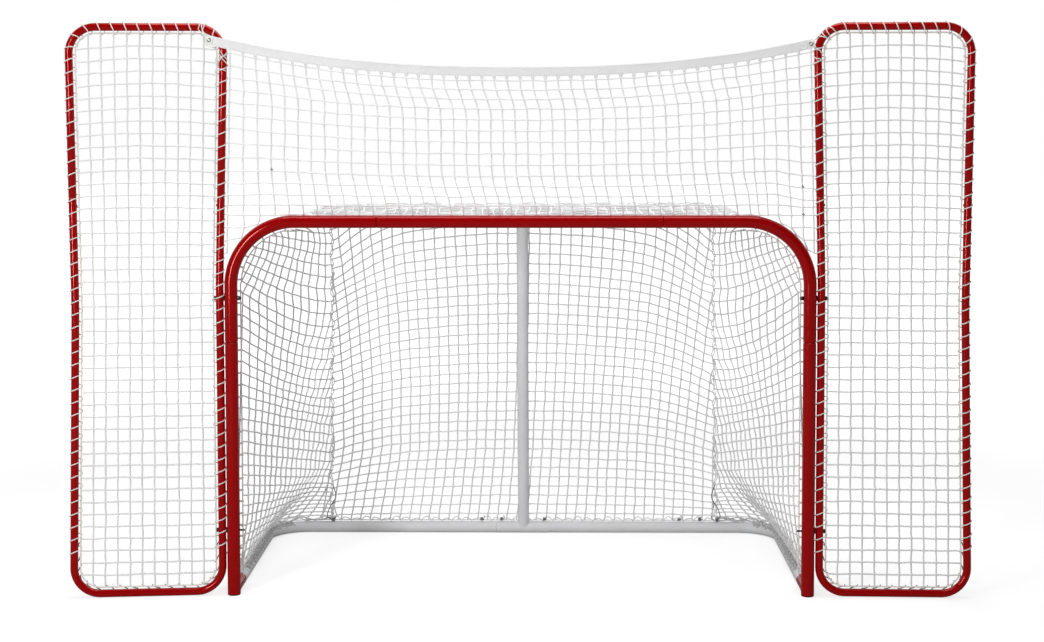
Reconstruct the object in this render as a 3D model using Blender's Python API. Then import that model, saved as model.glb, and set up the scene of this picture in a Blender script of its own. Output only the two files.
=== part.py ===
import math

import bmesh
import bpy
from mathutils import Matrix, Vector

# Hockey goal with a backstop: a steel goal frame, two tall side frames and nets. Metres, +Z up,
# +X to the right of someone who looks into the mouth, +Y into the goal.

# ---- goal mouth ----
OPENING_WIDTH = 1.829         # between the posts
OPENING_HEIGHT = 1.201        # floor to the underside of the crossbar
FRONT_TUBE = 0.042
TUBE_WALL = 0.002
CORNER_RADIUS = 0.207         # centre line of the front corners
POST_SEAM_HEIGHT = 0.83       # where the corner tube plugs into the lower post
CROSSBAR_SEAM = 0.461         # from the middle to where the corner tube plugs in
CROSSBAR_SCREW = 0.4525       # from the middle

# ---- rear frame: base, top shelf and centre post ----
REAR_TUBE_UNDER = 0.001       # rear tube's diameter, under the front tube's and the tees'
BASE_DEPTH = 0.86             # post centre line to back bar centre line
BASE_CORNER_RADIUS = 0.14
BASE_STUB_LENGTH = 0.12
SHELF_DEPTH = 0.56
SHELF_HALF_WIDTH = 0.70
SHELF_CORNER_RADIUS = 0.12
SHELF_STUB_LENGTH = 0.075
TEE_HALF_LENGTH = 0.10

# ---- side frames ----
PANEL_TUBE = 0.0254
PANEL_WALL = 0.0015
PANEL_WIDTH = 0.477           # leg centre to leg centre, at the lower corners
PANEL_HEIGHT = 1.860
PANEL_CORNER_RADIUS = 0.084
PANEL_SPACING = 0.003         # between the post and the inner leg
PANEL_SEAM_HEIGHT = 1.30
PANEL_SWING = {-1: math.radians(5.5), 1: math.radians(1.7)}   # outer leg forward of the mouth
INNER_LEAN = {-1: math.radians(1.5), 1: math.radians(1.4)}    # inner leg pulled in by the strap
INNER_LEAN_START = 0.045      # above the upper bolt
INNER_LEAN_RADIUS = 1.0
OUTER_LEAN_IN = math.radians(1.15)    # outer leg pulled in by its net, up to its middle
OUTER_LEAN_OUT = math.radians(0.6)    # and going out again above
OUTER_LEAN_HEIGHT = 0.95
OUTER_LEAN_RADIUS = 3.0

# ---- joints and fixings ----
PLUG_LENGTH = 0.05
PLUG_SHOULDER = 0.003
FIT_GAP = 0.0003              # clearance of every seated piece
CAP_FLANGE = 0.003
CAP_PLUG = 0.010
CAP_ROUND = 0.0012
BOLT_DIAMETER = 0.008
BOLT_HEAD_ACROSS = 0.013
BOLT_HEAD_HEIGHT = 0.0053
BOLT_IN_NUT = 0.008
NUT_HEX_HEIGHT = 0.0065
BOLT_BELOW_CORNER = 0.041     # upper bolt, below the start of the corner's bend
LOWER_PIN_HEIGHT = 0.214
PIN_DIAMETER = 0.0065
PIN_REACH = 0.016             # past the post, into the goal
SPACER_DIAMETER = 0.018
SCREW_DIAMETER = 0.005
SCREW_HEAD = 0.009
SCREW_HEAD_HEIGHT = 0.0028
SCREW_LENGTH = 0.008

# ---- net rail welded behind the front tubes ----
RAIL_ROD = 0.005
RAIL_STANDOFF = 0.009         # tube surface to rod centre line
RAIL_TURN = 0.006
RAIL_FOOT_HEIGHT = 0.062      # rail's lower end, above the base stub
RAIL_END_INSET = 0.025        # rail's ends, from the tubes' seams
RAIL_PEG_SPACING = 0.28

# ---- nets and strap ----
NET_THICKNESS = 0.003
RIDGE_BOTTOM = 0.72           # from the middle to the back net's lower corners
RIDGE_ANGLE = math.radians(49)   # round the shelf's bend, where side net and back net meet
NET_NOTCH_DEPTH = 0.0075      # room round the fixings' heads on the side frames
NET_NOTCH_HEIGHT = 0.020
STRAP_WIDTH = 0.030
STRAP_THICKNESS = 0.0025
STRAP_END_HEIGHT = 1.798
STRAP_MIDDLE_HEIGHT = 1.704
STRAP_CURVE = 2.4             # exponent of the sag
STRAP_LEFT_PAST_LEG = 0.0424  # left eyelet, past the side frame's inner leg
STRAP_RIGHT_SHORT = 0.022     # right eyelet, short of the side frame's inner leg
STRAP_BEYOND_EYE = 0.012
STRAP_END_ROUND = 0.009
EYELET_BORE = 0.007
EYELET_BARREL = 0.0095
EYELET_FLANGE = 0.014
EYELET_RIM = 0.0009
SPAN_NET_LOWEST = 1.12        # where the span net ends beside the corners

# ---- mesh fineness ----
FRAME_SIDES = 16
PANEL_SIDES = 12
ROD_SIDES = 6
FIXING_SIDES = 12
SCREW_SIDES = 8
CORNER_STEPS = 9
BEND_STEPS = 6
PANEL_BEND_STEPS = 6

# ---- places that follow from the sizes above ----
POST_X = (OPENING_WIDTH + FRONT_TUBE) / 2
CROSSBAR_Z = OPENING_HEIGHT + FRONT_TUBE / 2
REAR_TUBE = FRONT_TUBE - REAR_TUBE_UNDER
TEE_TUBE = FRONT_TUBE
BASE_Z = TEE_TUBE / 2
UPPER_BOLT_HEIGHT = CROSSBAR_Z - CORNER_RADIUS - BOLT_BELOW_CORNER
INNER_LEG_X = POST_X + (FRONT_TUBE + PANEL_TUBE) / 2 + PANEL_SPACING
PANEL_TOP_Z = PANEL_HEIGHT - PANEL_TUBE / 2
RAIL_Y = FRONT_TUBE / 2 + RAIL_STANDOFF
NET_LIFT = NET_THICKNESS / 2 + 2 * FIT_GAP    # a tube's surface to a net's middle


def side_extent(side):
    return INNER_LEG_X + (PANEL_WIDTH + PANEL_TUBE / 2) * math.cos(PANEL_SWING[side])


def front_extent(side):
    swing = PANEL_SWING[side]
    return PANEL_WIDTH * math.sin(swing) + PANEL_TUBE / 2 * math.cos(swing)


SHELF_BEND = (SHELF_HALF_WIDTH - SHELF_CORNER_RADIUS, SHELF_DEPTH - SHELF_CORNER_RADIUS)

# The origin lies on the floor in the middle of the whole object.
ORIGIN = Vector((
    (side_extent(1) - side_extent(-1)) / 2,
    (BASE_DEPTH + TEE_TUBE / 2 - max(front_extent(-1), front_extent(1))) / 2,
    0.0,
))

RED = ("red_powder_coat", (0.42, 0.0, 0.008, 1), 0.25, 0.0)
GREY = ("light_grey_powder_coat", (0.62, 0.63, 0.64, 1), 0.35, 0.0)
ZINC = ("zinc_plated_steel", (0.55, 0.56, 0.58, 1), 0.35, 0.9)
DARK = ("dark_steel", (0.08, 0.08, 0.085, 1), 0.4, 0.8)
CAP = ("foot_cap_plastic", (0.03, 0.01, 0.01, 1), 0.5, 0.0)
SPACER = ("spacer_nylon", (0.03, 0.03, 0.03, 1), 0.5, 0.0)
TWINE = ("white_net_twine", (0.85, 0.85, 0.85, 1), 0.8, 0.0)
WEBBING = ("white_webbing", (0.86, 0.86, 0.86, 1), 0.7, 0.0)


def clear_scene():
    for obj in list(bpy.data.objects):
        bpy.data.objects.remove(obj, do_unlink=True)


def material(finish):
    name, colour, roughness, metallic = finish
    if name in bpy.data.materials:
        return bpy.data.materials[name]
    made = bpy.data.materials.new(name)
    made.use_nodes = True
    shader = made.node_tree.nodes["Principled BSDF"]
    shader.inputs["Base Color"].default_value = colour
    shader.inputs["Roughness"].default_value = roughness
    shader.inputs["Metallic"].default_value = metallic
    return made


def add_object(name, bm, finish, cutter=False):
    # Meshes are drawn about the middle of the mouth's plane and moved to the origin here.
    bmesh.ops.recalc_face_normals(bm, faces=bm.faces[:])
    bmesh.ops.translate(bm, verts=bm.verts[:], vec=-ORIGIN)
    mesh = bpy.data.meshes.new(name)
    bm.to_mesh(mesh)
    bm.free()
    mesh.shade_smooth()
    mesh.set_sharp_from_angle(angle=math.radians(35))
    obj = bpy.data.objects.new(name, mesh)
    bpy.context.scene.collection.objects.link(obj)
    if cutter:
        obj.hide_render = True
        obj.display_type = "WIRE"
    else:
        mesh.materials.append(material(finish))
    return obj


def combine(obj, others, operation):
    for other in others:
        boolean = obj.modifiers.new(f"{operation.lower()}_{other.name}", "BOOLEAN")
        boolean.operation = operation
        boolean.solver = "EXACT"
        boolean.object = other
    return obj


def parts_of(faces):
    edges = {edge for face in faces for edge in face.edges}
    verts = {vert for face in faces for vert in face.verts}
    return list(faces) + list(edges) + list(verts)


class Run:
    # A bar as a bender makes it: a flat profile is pushed straight and swung round each bend.
    # With a bore it is a tube, without one a solid bar.

    def __init__(self, start, heading, side, diameter, sides, bore=None):
        self.bm = bmesh.new()
        self.here = Vector(start)
        self.heading = Vector(heading).normalized()
        self.outer = diameter / 2
        self.inner = bore / 2 if bore else None
        across = Vector(side).normalized()
        turn = Matrix((across, self.heading.cross(across), self.heading)).transposed()
        place = Matrix.Translation(self.here) @ turn.to_4x4()
        bmesh.ops.create_circle(
            self.bm, segments=sides, radius=self.outer, cap_ends=not bore, matrix=place)
        if bore:
            bmesh.ops.create_circle(self.bm, segments=sides, radius=self.inner, matrix=place)
            bmesh.ops.bridge_loops(self.bm, edges=self.bm.edges[:])
        self.end = self.bm.faces[:]

    def straight(self, length):
        grown = bmesh.ops.extrude_face_region(self.bm, geom=parts_of(self.end))["geom"]
        self.end = [item for item in grown if isinstance(item, bmesh.types.BMFace)]
        verts = [item for item in grown if isinstance(item, bmesh.types.BMVert)]
        bmesh.ops.translate(self.bm, verts=verts, vec=self.heading * length)
        self.here = self.here + self.heading * length
        return self

    def bend(self, angle, radius, toward, steps):
        toward = Vector(toward)
        toward = (toward - self.heading * toward.dot(self.heading)).normalized()
        axis = self.heading.cross(toward)
        centre = self.here + toward * radius
        turned = bmesh.ops.spin(self.bm, geom=parts_of(self.end), cent=centre, axis=axis,
                                angle=angle, steps=steps)["geom_last"]
        self.end = [item for item in turned if isinstance(item, bmesh.types.BMFace)]
        turn = Matrix.Rotation(angle, 3, axis)
        self.here = centre + turn @ (self.here - centre)
        self.heading = turn @ self.heading
        return self

    def step_to(self, diameter, length, bore=None):
        # The profile grows or shrinks over the given length.
        middle = self.outer if self.inner is None else (self.outer + self.inner) / 2
        self.straight(length)
        new_outer = diameter / 2
        new_inner = bore / 2 if bore else None
        for vert in {vert for face in self.end for vert in face.verts}:
            arm = vert.co - self.here
            is_outer = self.inner is None or arm.length > middle
            vert.co = self.here + arm.normalized() * (new_outer if is_outer else new_inner)
        self.outer, self.inner = new_outer, new_inner
        return self


def rod(name, start, end, diameter, sides, finish=None, twist=0.0):
    span = Vector(end) - Vector(start)
    across = Vector((1, 0, 0)) if abs(span.normalized().x) < 0.9 else Vector((0, 0, 1))
    across = across - span.normalized() * across.dot(span.normalized())
    across = Matrix.Rotation(twist, 3, span) @ across
    run = Run(start, span, across, diameter, sides).straight(span.length)
    return add_object(name, run.bm, finish, cutter=finish is None)


def plug_diameter(socket_tube, wall=TUBE_WALL):
    # A swaged end slides into a socket of this tube.
    return socket_tube - 2 * (wall + FIT_GAP)


def plug_out(run, tube, plug, wall=TUBE_WALL, inset=0.0):
    # From a swaged end to full size. The shoulder stops a fit gap short of the socket's rim.
    run.straight(PLUG_LENGTH)
    bore = tube - 2 * wall if run.inner else None
    return run.step_to(tube - 2 * inset, PLUG_SHOULDER, bore)


def plug_in(run, plug, wall=TUBE_WALL, inset=0.0):
    bore = plug - 2 * wall if run.inner else None
    run.step_to(plug - 2 * inset, PLUG_SHOULDER, bore)
    return run.straight(PLUG_LENGTH)


# ---- front frame ----

def net_rail(name, start, along, length):
    # A rod stood off the tube's rear, its ends turned into the tube.
    sunk = TUBE_WALL / 2
    entry = Vector(start) + Vector((0, FRONT_TUBE / 2 - sunk, 0))
    side = Vector(along).cross(Vector((0, 1, 0)))
    run = Run(entry, (0, 1, 0), side, RAIL_ROD, ROD_SIDES)
    run.straight(RAIL_STANDOFF + sunk - RAIL_TURN)
    run.bend(math.pi / 2, RAIL_TURN, along, 2)
    run.straight(length - 2 * RAIL_TURN)
    run.bend(math.pi / 2, RAIL_TURN, (0, -1, 0), 2)
    run.straight(RAIL_STANDOFF + sunk - RAIL_TURN)
    return add_object(name, run.bm, None, cutter=True)


def rail_pegs(name, start, along, length):
    count = int(length / RAIL_PEG_SPACING)
    pegs = []
    for index in range(count):
        foot = Vector(start) + Vector(along) * length * (index + 1) / (count + 1)
        foot.y = FRONT_TUBE / 2 - TUBE_WALL / 2
        tip = foot + Vector((0, RAIL_STANDOFF + TUBE_WALL / 2, 0))
        pegs.append(rod(f"{name}_{index}", foot, tip, RAIL_ROD * 0.8, ROD_SIDES))
    return pegs


def bolt_hole(name, side, height, diameter):
    reach = FRONT_TUBE
    return rod(name, (side * (POST_X - reach), 0, height), (side * (INNER_LEG_X + reach), 0, height),
               diameter + 2 * FIT_GAP, FIXING_SIDES)


def lower_post(label, side):
    x = side * POST_X
    bore = FRONT_TUBE - 2 * TUBE_WALL
    bottom = CAP_FLANGE + FIT_GAP
    post = rod(f"{label}_lower_post", (x, 0, bottom), (x, 0, POST_SEAM_HEIGHT),
               FRONT_TUBE, FRAME_SIDES, RED)
    stub = rod(f"{label}_base_stub", (x, 0, BASE_Z), (x, BASE_STUB_LENGTH, BASE_Z),
               REAR_TUBE, FRAME_SIDES)
    rail_length = POST_SEAM_HEIGHT - RAIL_END_INSET - RAIL_FOOT_HEIGHT
    rail_start = (x, 0, RAIL_FOOT_HEIGHT)
    rail = net_rail(f"{label}_post_rail", rail_start, (0, 0, 1), rail_length)
    pegs = rail_pegs(f"{label}_post_peg", rail_start, (0, 0, 1), rail_length)
    combine(post, [stub, rail] + pegs, "UNION")
    past = FRONT_TUBE
    post_bore = rod(f"{label}_post_bore", (x, 0, -past), (x, 0, POST_SEAM_HEIGHT + past),
                    bore, FRAME_SIDES)
    stub_bore = rod(f"{label}_stub_bore", (x, 0, BASE_Z), (x, BASE_STUB_LENGTH + past, BASE_Z),
                    REAR_TUBE - 2 * TUBE_WALL, FRAME_SIDES)
    cap_room = rod(f"{label}_cap_room", (x, 0, -past), (x, 0, bottom),
                   FRONT_TUBE + 2 * FIT_GAP, FRAME_SIDES)
    pin_hole = bolt_hole(f"{label}_pin_hole", side, LOWER_PIN_HEIGHT, PIN_DIAMETER)
    combine(post, [post_bore, stub_bore, cap_room, pin_hole], "DIFFERENCE")


def foot_cap(label, side):
    x = side * POST_X
    plug = FRONT_TUBE - 2 * (TUBE_WALL + FIT_GAP)
    run = Run((x, 0, 0), (0, 0, 1), (1, 0, 0), FRONT_TUBE - 2 * CAP_ROUND, FRAME_SIDES)
    run.step_to(FRONT_TUBE, CAP_ROUND)
    run.straight(CAP_FLANGE - CAP_ROUND)
    run.step_to(plug, 0.0)
    run.straight(CAP_PLUG)
    add_object(f"{label}_foot_cap", run.bm, CAP)


def corner_path(side, inset, past=0.0):
    # Up from the plug in the lower post, round the corner and in to the plug in the crossbar.
    plug = plug_diameter(FRONT_TUBE)
    x = side * POST_X
    start_z = POST_SEAM_HEIGHT + FIT_GAP - PLUG_LENGTH
    inward = Vector((-side, 0, 0))
    run = Run((x, 0, start_z - past), (0, 0, 1), (1, 0, 0), plug - 2 * inset, FRAME_SIDES)
    if past:
        run.straight(past)
    plug_out(run, FRONT_TUBE, plug, inset=inset)
    run.straight(CROSSBAR_Z - CORNER_RADIUS - run.here.z)
    run.bend(math.pi / 2, CORNER_RADIUS, inward, CORNER_STEPS)
    shoulder_x = CROSSBAR_SEAM + FIT_GAP + PLUG_SHOULDER
    run.straight(abs(run.here.x) - shoulder_x)
    plug_in(run, plug, inset=inset)
    if past:
        run.straight(past)
    return run


def corner_rail(label, side):
    # The rail follows the corner tube, from just above the post seam to near the crossbar seam.
    sunk = TUBE_WALL / 2
    inward = Vector((-side, 0, 0))
    low = POST_SEAM_HEIGHT + RAIL_END_INSET
    run = Run((side * POST_X, FRONT_TUBE / 2 - sunk, low), (0, 1, 0), (0, 0, 1),
              RAIL_ROD, ROD_SIDES)
    run.straight(RAIL_STANDOFF + sunk - RAIL_TURN)
    run.bend(math.pi / 2, RAIL_TURN, (0, 0, 1), 2)
    run.straight(CROSSBAR_Z - CORNER_RADIUS - run.here.z)
    run.bend(math.pi / 2, CORNER_RADIUS, inward, CORNER_STEPS)
    run.straight(abs(run.here.x) - CROSSBAR_SEAM - RAIL_END_INSET - RAIL_TURN)
    run.bend(math.pi / 2, RAIL_TURN, (0, -1, 0), 2)
    run.straight(RAIL_STANDOFF + sunk - RAIL_TURN)
    return add_object(f"{label}_corner_rail", run.bm, None, cutter=True)


def crossbar_screw_hole(label, side):
    x = side * CROSSBAR_SCREW
    return rod(f"{label}_crossbar_screw_hole", (x, -FRONT_TUBE, CROSSBAR_Z), (x, 0, CROSSBAR_Z),
               SCREW_DIAMETER + 2 * FIT_GAP, SCREW_SIDES)


def corner_tube(label, side):
    tube = add_object(f"{label}_corner_tube", corner_path(side, 0.0).bm, RED)
    x = side * SHELF_HALF_WIDTH
    stub = rod(f"{label}_shelf_stub", (x, 0, CROSSBAR_Z), (x, SHELF_STUB_LENGTH, CROSSBAR_Z),
               REAR_TUBE, FRAME_SIDES)
    combine(tube, [stub, corner_rail(label, side)], "UNION")
    bore = add_object(f"{label}_corner_bore", corner_path(side, TUBE_WALL, FRONT_TUBE).bm,
                      None, cutter=True)
    stub_bore = rod(f"{label}_shelf_stub_bore", (x, 0, CROSSBAR_Z),
                    (x, SHELF_STUB_LENGTH + FRONT_TUBE, CROSSBAR_Z),
                    REAR_TUBE - 2 * TUBE_WALL, FRAME_SIDES)
    hole = bolt_hole(f"{label}_upper_bolt_hole", side, UPPER_BOLT_HEIGHT, BOLT_DIAMETER)
    combine(tube, [bore, stub_bore, hole, crossbar_screw_hole(f"{label}_plug", side)], "DIFFERENCE")


def crossbar():
    bar = rod("crossbar", (-CROSSBAR_SEAM, 0, CROSSBAR_Z),
              (CROSSBAR_SEAM, 0, CROSSBAR_Z), FRONT_TUBE, FRAME_SIDES, RED)
    rail_start = (-CROSSBAR_SEAM + RAIL_END_INSET, 0, CROSSBAR_Z)
    length = 2 * (CROSSBAR_SEAM - RAIL_END_INSET)
    rail = net_rail("crossbar_rail", rail_start, (1, 0, 0), length)
    pegs = rail_pegs("crossbar_peg", rail_start, (1, 0, 0), length)
    combine(bar, [rail] + pegs, "UNION")
    reach = CROSSBAR_SEAM + FRONT_TUBE
    bore = rod("crossbar_bore", (-reach, 0, CROSSBAR_Z), (reach, 0, CROSSBAR_Z),
               FRONT_TUBE - 2 * TUBE_WALL, FRAME_SIDES)
    holes = [crossbar_screw_hole(label, side) for label, side in SIDES]
    combine(bar, [bore] + holes, "DIFFERENCE")


# ---- rear frame ----

def rear_tube(name, side, half_width, depth, height, corner_radius, stub_length):
    # From the stub straight back, round the corner and in to the tee.
    plug = plug_diameter(REAR_TUBE)
    tee_plug = plug_diameter(TEE_TUBE)
    bore = plug - 2 * TUBE_WALL
    seat = stub_length + FIT_GAP
    run = Run((side * half_width, seat - PLUG_LENGTH, height), (0, 1, 0), (1, 0, 0),
              plug, FRAME_SIDES, bore)
    plug_out(run, REAR_TUBE, plug)
    run.straight(depth - corner_radius - run.here.y)
    run.bend(math.pi / 2, corner_radius, (-side, 0, 0), BEND_STEPS)
    run.straight(abs(run.here.x) - TEE_HALF_LENGTH - FIT_GAP - PLUG_SHOULDER)
    plug_in(run, tee_plug)
    add_object(name, run.bm, GREY)


def centre_post():
    shelf = Vector((0, SHELF_DEPTH, CROSSBAR_Z))
    base = Vector((0, BASE_DEPTH, BASE_Z))
    post = rod("centre_post", base, shelf, REAR_TUBE, FRAME_SIDES, GREY)
    bores = [rod("centre_post_bore", base, shelf, REAR_TUBE - 2 * TUBE_WALL, FRAME_SIDES)]
    tees = []
    for name, centre in (("base", base), ("shelf", shelf)):
        arm = Vector((TEE_HALF_LENGTH, 0, 0))
        past = Vector((FRONT_TUBE, 0, 0))
        tees.append(rod(f"{name}_tee", centre - arm, centre + arm, TEE_TUBE, FRAME_SIDES))
        bores.append(rod(f"{name}_tee_bore", centre - arm - past, centre + arm + past,
                         TEE_TUBE - 2 * TUBE_WALL, FRAME_SIDES))
    combine(post, tees, "UNION")
    combine(post, bores, "DIFFERENCE")


# ---- side frames ----

def swing_panel(bm, side):
    # Turns a side frame's piece about its inner leg, so the outer leg comes forward.
    pivot = Vector((side * INNER_LEG_X, 0, 0))
    turn = Matrix.Rotation(-side * PANEL_SWING[side], 3, "Z")
    bmesh.ops.rotate(bm, verts=bm.verts[:], cent=pivot, matrix=turn)
    return bm


def frame_corners(side):
    # Where the straight lengths of the axis would meet: out from the inner leg's foot, and up.
    low, top = PANEL_TUBE / 2, PANEL_TOP_Z
    inner_bend = UPPER_BOLT_HEIGHT + INNER_LEAN_START
    corner_gain = PANEL_CORNER_RADIUS * (math.tan(math.pi / 4 + OUTER_LEAN_IN / 2) - 1)
    outer_foot = PANEL_WIDTH + corner_gain
    outer_bend = outer_foot - (OUTER_LEAN_HEIGHT - low) * math.tan(OUTER_LEAN_IN)
    return {
        "inner_foot": (0, low),
        "inner_bend": (0, inner_bend),
        "inner_top": (-(top - inner_bend) * math.tan(INNER_LEAN[side]), top),
        "outer_top": (outer_bend + (top - OUTER_LEAN_HEIGHT) * math.tan(OUTER_LEAN_OUT), top),
        "outer_bend": (outer_bend, OUTER_LEAN_HEIGHT),
        "outer_foot": (outer_foot, low),
    }


def frame_point(side, out, height):
    # A point of the side frame's plane, before it is swung forward.
    return Vector((side * (INNER_LEG_X + out), 0, height))


def leg_out(side, leg, height):
    # How far out from the inner leg's foot the leg's axis runs at this height.
    corners = frame_corners(side)
    foot, bend, top = (corners[f"{leg}_{place}"] for place in ("foot", "bend", "top"))
    low, high = (foot, bend) if height < bend[1] else (bend, top)
    return low[0] + (high[0] - low[0]) * (height - low[1]) / (high[1] - low[1])


def follow(run, corners, end):
    # Straight to each corner's bend and round it, then on to the end.
    for index, (corner, radius, steps) in enumerate(corners):
        following = corners[index + 1][0] if index + 1 < len(corners) else end
        onward = (following - corner).normalized()
        angle = run.heading.angle(onward)
        run.straight((corner - run.here).dot(run.heading) - radius * math.tan(angle / 2))
        run.bend(angle, radius, onward, steps)
    return run.straight((end - run.here).dot(run.heading))


def panel_fixing_holes(label, side, which):
    holes = []
    if which == "lower":
        holes.append(bolt_hole(f"{label}_frame_bolt_hole", side, UPPER_BOLT_HEIGHT, BOLT_DIAMETER))
        holes.append(bolt_hole(f"{label}_frame_pin_hole", side, LOWER_PIN_HEIGHT, PIN_DIAMETER))
    for leg in ("inner", "outer"):
        seat, out = panel_screw_place(side, leg)
        holes.append(rod(f"{label}_{which}_{leg}_screw_hole", seat - out * PANEL_TUBE / 2,
                         seat + out * PANEL_TUBE / 2, SCREW_DIAMETER + 2 * FIT_GAP, SCREW_SIDES,
                         twist=math.pi / SCREW_SIDES))
    return holes


def panel_lower(label, side):
    at = {name: frame_point(side, *spot) for name, spot in frame_corners(side).items()}
    seams = [frame_point(side, leg_out(side, leg, PANEL_SEAM_HEIGHT), PANEL_SEAM_HEIGHT)
             for leg in ("inner", "outer")]
    run = Run(seams[0], at["inner_bend"] - at["inner_top"], (0, 1, 0),
              PANEL_TUBE, PANEL_SIDES, PANEL_TUBE - 2 * PANEL_WALL)
    follow(run, [(at["inner_bend"], INNER_LEAN_RADIUS, 1),
                 (at["inner_foot"], PANEL_CORNER_RADIUS, PANEL_BEND_STEPS),
                 (at["outer_foot"], PANEL_CORNER_RADIUS, PANEL_BEND_STEPS),
                 (at["outer_bend"], OUTER_LEAN_RADIUS, 2)], seams[1])
    frame = add_object(f"{label}_side_frame_lower", swing_panel(run.bm, side), RED)
    combine(frame, panel_fixing_holes(label, side, "lower"), "DIFFERENCE")


def panel_upper(label, side):
    at = {name: frame_point(side, *spot) for name, spot in frame_corners(side).items()}
    seams = [frame_point(side, leg_out(side, leg, PANEL_SEAM_HEIGHT), PANEL_SEAM_HEIGHT)
             for leg in ("inner", "outer")]
    inner_up = (at["inner_top"] - at["inner_bend"]).normalized()
    outer_up = (at["outer_top"] - at["outer_bend"]).normalized()
    plug = plug_diameter(PANEL_TUBE, PANEL_WALL)
    run = Run(seams[0] + inner_up * (FIT_GAP - PLUG_LENGTH), inner_up, (0, 1, 0),
              plug, PANEL_SIDES, plug - 2 * PANEL_WALL)
    plug_out(run, PANEL_TUBE, plug, PANEL_WALL)
    follow(run, [(at["inner_top"], PANEL_CORNER_RADIUS, PANEL_BEND_STEPS),
                 (at["outer_top"], PANEL_CORNER_RADIUS, PANEL_BEND_STEPS)],
           seams[1] + outer_up * (FIT_GAP + PLUG_SHOULDER))
    plug_in(run, plug, PANEL_WALL)
    frame = add_object(f"{label}_side_frame_upper", swing_panel(run.bm, side), RED)
    combine(frame, panel_fixing_holes(label, side, "upper"), "DIFFERENCE")


def panel_screw_place(side, leg):
    # The screws' heads face the net from both legs, square to the legs.
    height = PANEL_SEAM_HEIGHT - PLUG_LENGTH / 2
    corners = frame_corners(side)
    bend, top = corners[f"{leg}_bend"], corners[f"{leg}_top"]
    slope = (top[0] - bend[0]) / (top[1] - bend[1])
    out = Vector((side, 0, -slope)).normalized() * (1 if leg == "inner" else -1)
    turn = Matrix.Rotation(-side * PANEL_SWING[side], 3, "Z")
    pivot = frame_point(side, 0, 0)
    seat = frame_point(side, leg_out(side, leg, height), height) + out * PANEL_TUBE / 2
    return pivot + turn @ (seat - pivot), turn @ out


# ---- fixings ----

def hex_prism(name, start, end, across_flats, finish=None):
    return rod(name, start, end, across_flats / math.cos(math.pi / 6), 6, finish)


def side_bolt(label, side):
    # Hex head on the side frame, through both tubes, into a cap nut inside the goal.
    height = UPPER_BOLT_HEIGHT
    head_seat = INNER_LEG_X + PANEL_TUBE / 2 + FIT_GAP
    tip = POST_X - FRONT_TUBE / 2 - FIT_GAP - BOLT_IN_NUT
    bolt = rod(f"{label}_side_bolt", (side * (head_seat + BOLT_HEAD_HEIGHT / 2), 0, height),
               (side * tip, 0, height), BOLT_DIAMETER, FIXING_SIDES, DARK)
    head = hex_prism(f"{label}_side_bolt_head", (side * head_seat, 0, height),
                     (side * (head_seat + BOLT_HEAD_HEIGHT), 0, height), BOLT_HEAD_ACROSS)
    combine(bolt, [head], "UNION")
    nut_face = POST_X - FRONT_TUBE / 2 - FIT_GAP
    nut = hex_prism(f"{label}_cap_nut", (side * nut_face, 0, height),
                    (side * (nut_face - NUT_HEX_HEIGHT), 0, height), BOLT_HEAD_ACROSS, DARK)
    combine(nut, [nut_dome(label, side, nut_face - NUT_HEX_HEIGHT)], "UNION")
    bore = rod(f"{label}_nut_bore", (side * (nut_face + FRONT_TUBE), 0, height),
               (side * (tip - FIT_GAP), 0, height), BOLT_DIAMETER + 2 * FIT_GAP, FIXING_SIDES)
    combine(nut, [bore], "DIFFERENCE")


def nut_dome(label, side, seat):
    radius = BOLT_HEAD_ACROSS / 2 * 0.94
    bm = bmesh.new()
    bmesh.ops.create_uvsphere(bm, u_segments=FIXING_SIDES, v_segments=6, radius=radius,
                              matrix=Matrix.Rotation(math.pi / 2, 4, "Y"))
    bmesh.ops.translate(bm, verts=bm.verts[:], vec=(side * seat, 0, UPPER_BOLT_HEIGHT))
    return add_object(f"{label}_nut_dome", bm, None, cutter=True)


def side_pin(label, side):
    # Hex-headed pin whose plain end stands out inside the goal.
    height = LOWER_PIN_HEIGHT
    head_seat = INNER_LEG_X + PANEL_TUBE / 2 + FIT_GAP
    tip = POST_X - FRONT_TUBE / 2 - PIN_REACH
    pin = rod(f"{label}_side_pin", (side * (head_seat + BOLT_HEAD_HEIGHT / 2), 0, height),
              (side * tip, 0, height), PIN_DIAMETER, FIXING_SIDES, DARK)
    head = hex_prism(f"{label}_side_pin_head", (side * head_seat, 0, height),
                     (side * (head_seat + BOLT_HEAD_HEIGHT), 0, height), BOLT_HEAD_ACROSS)
    combine(pin, [head], "UNION")


def spacer(name, side, height, bolt):
    # A washer between the post and the side frame's leg.
    start = POST_X + FRONT_TUBE / 2 + FIT_GAP
    run = Run((side * start, 0, height), (side, 0, 0), (0, 0, 1), SPACER_DIAMETER, FIXING_SIDES,
              bolt + 2 * FIT_GAP)
    run.straight(PANEL_SPACING - 2 * FIT_GAP)
    add_object(name, run.bm, SPACER)


def button_screw(name, seat, out, finish):
    # A domed head on the tube and a short shank through both walls.
    seat = Vector(seat)
    out = Vector(out).normalized()
    across = Vector((0, 0, 1))
    run = Run(seat - out * SCREW_LENGTH, out, across, SCREW_DIAMETER, SCREW_SIDES)
    run.straight(SCREW_LENGTH + FIT_GAP)
    run.step_to(SCREW_HEAD, 0.0)
    run.straight(SCREW_HEAD_HEIGHT * 0.4)
    run.step_to(SCREW_HEAD * 0.8, SCREW_HEAD_HEIGHT * 0.35)
    run.step_to(SCREW_HEAD * 0.4, SCREW_HEAD_HEIGHT * 0.25)
    add_object(name, run.bm, finish)


# ---- strap ----

def strap_eye(side):
    # How far from the middle the eyelet stands, beside the leaning inner leg.
    leg = INNER_LEG_X + leg_out(side, "inner", STRAP_END_HEIGHT)
    return leg + (STRAP_LEFT_PAST_LEG if side < 0 else -STRAP_RIGHT_SHORT)


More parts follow.
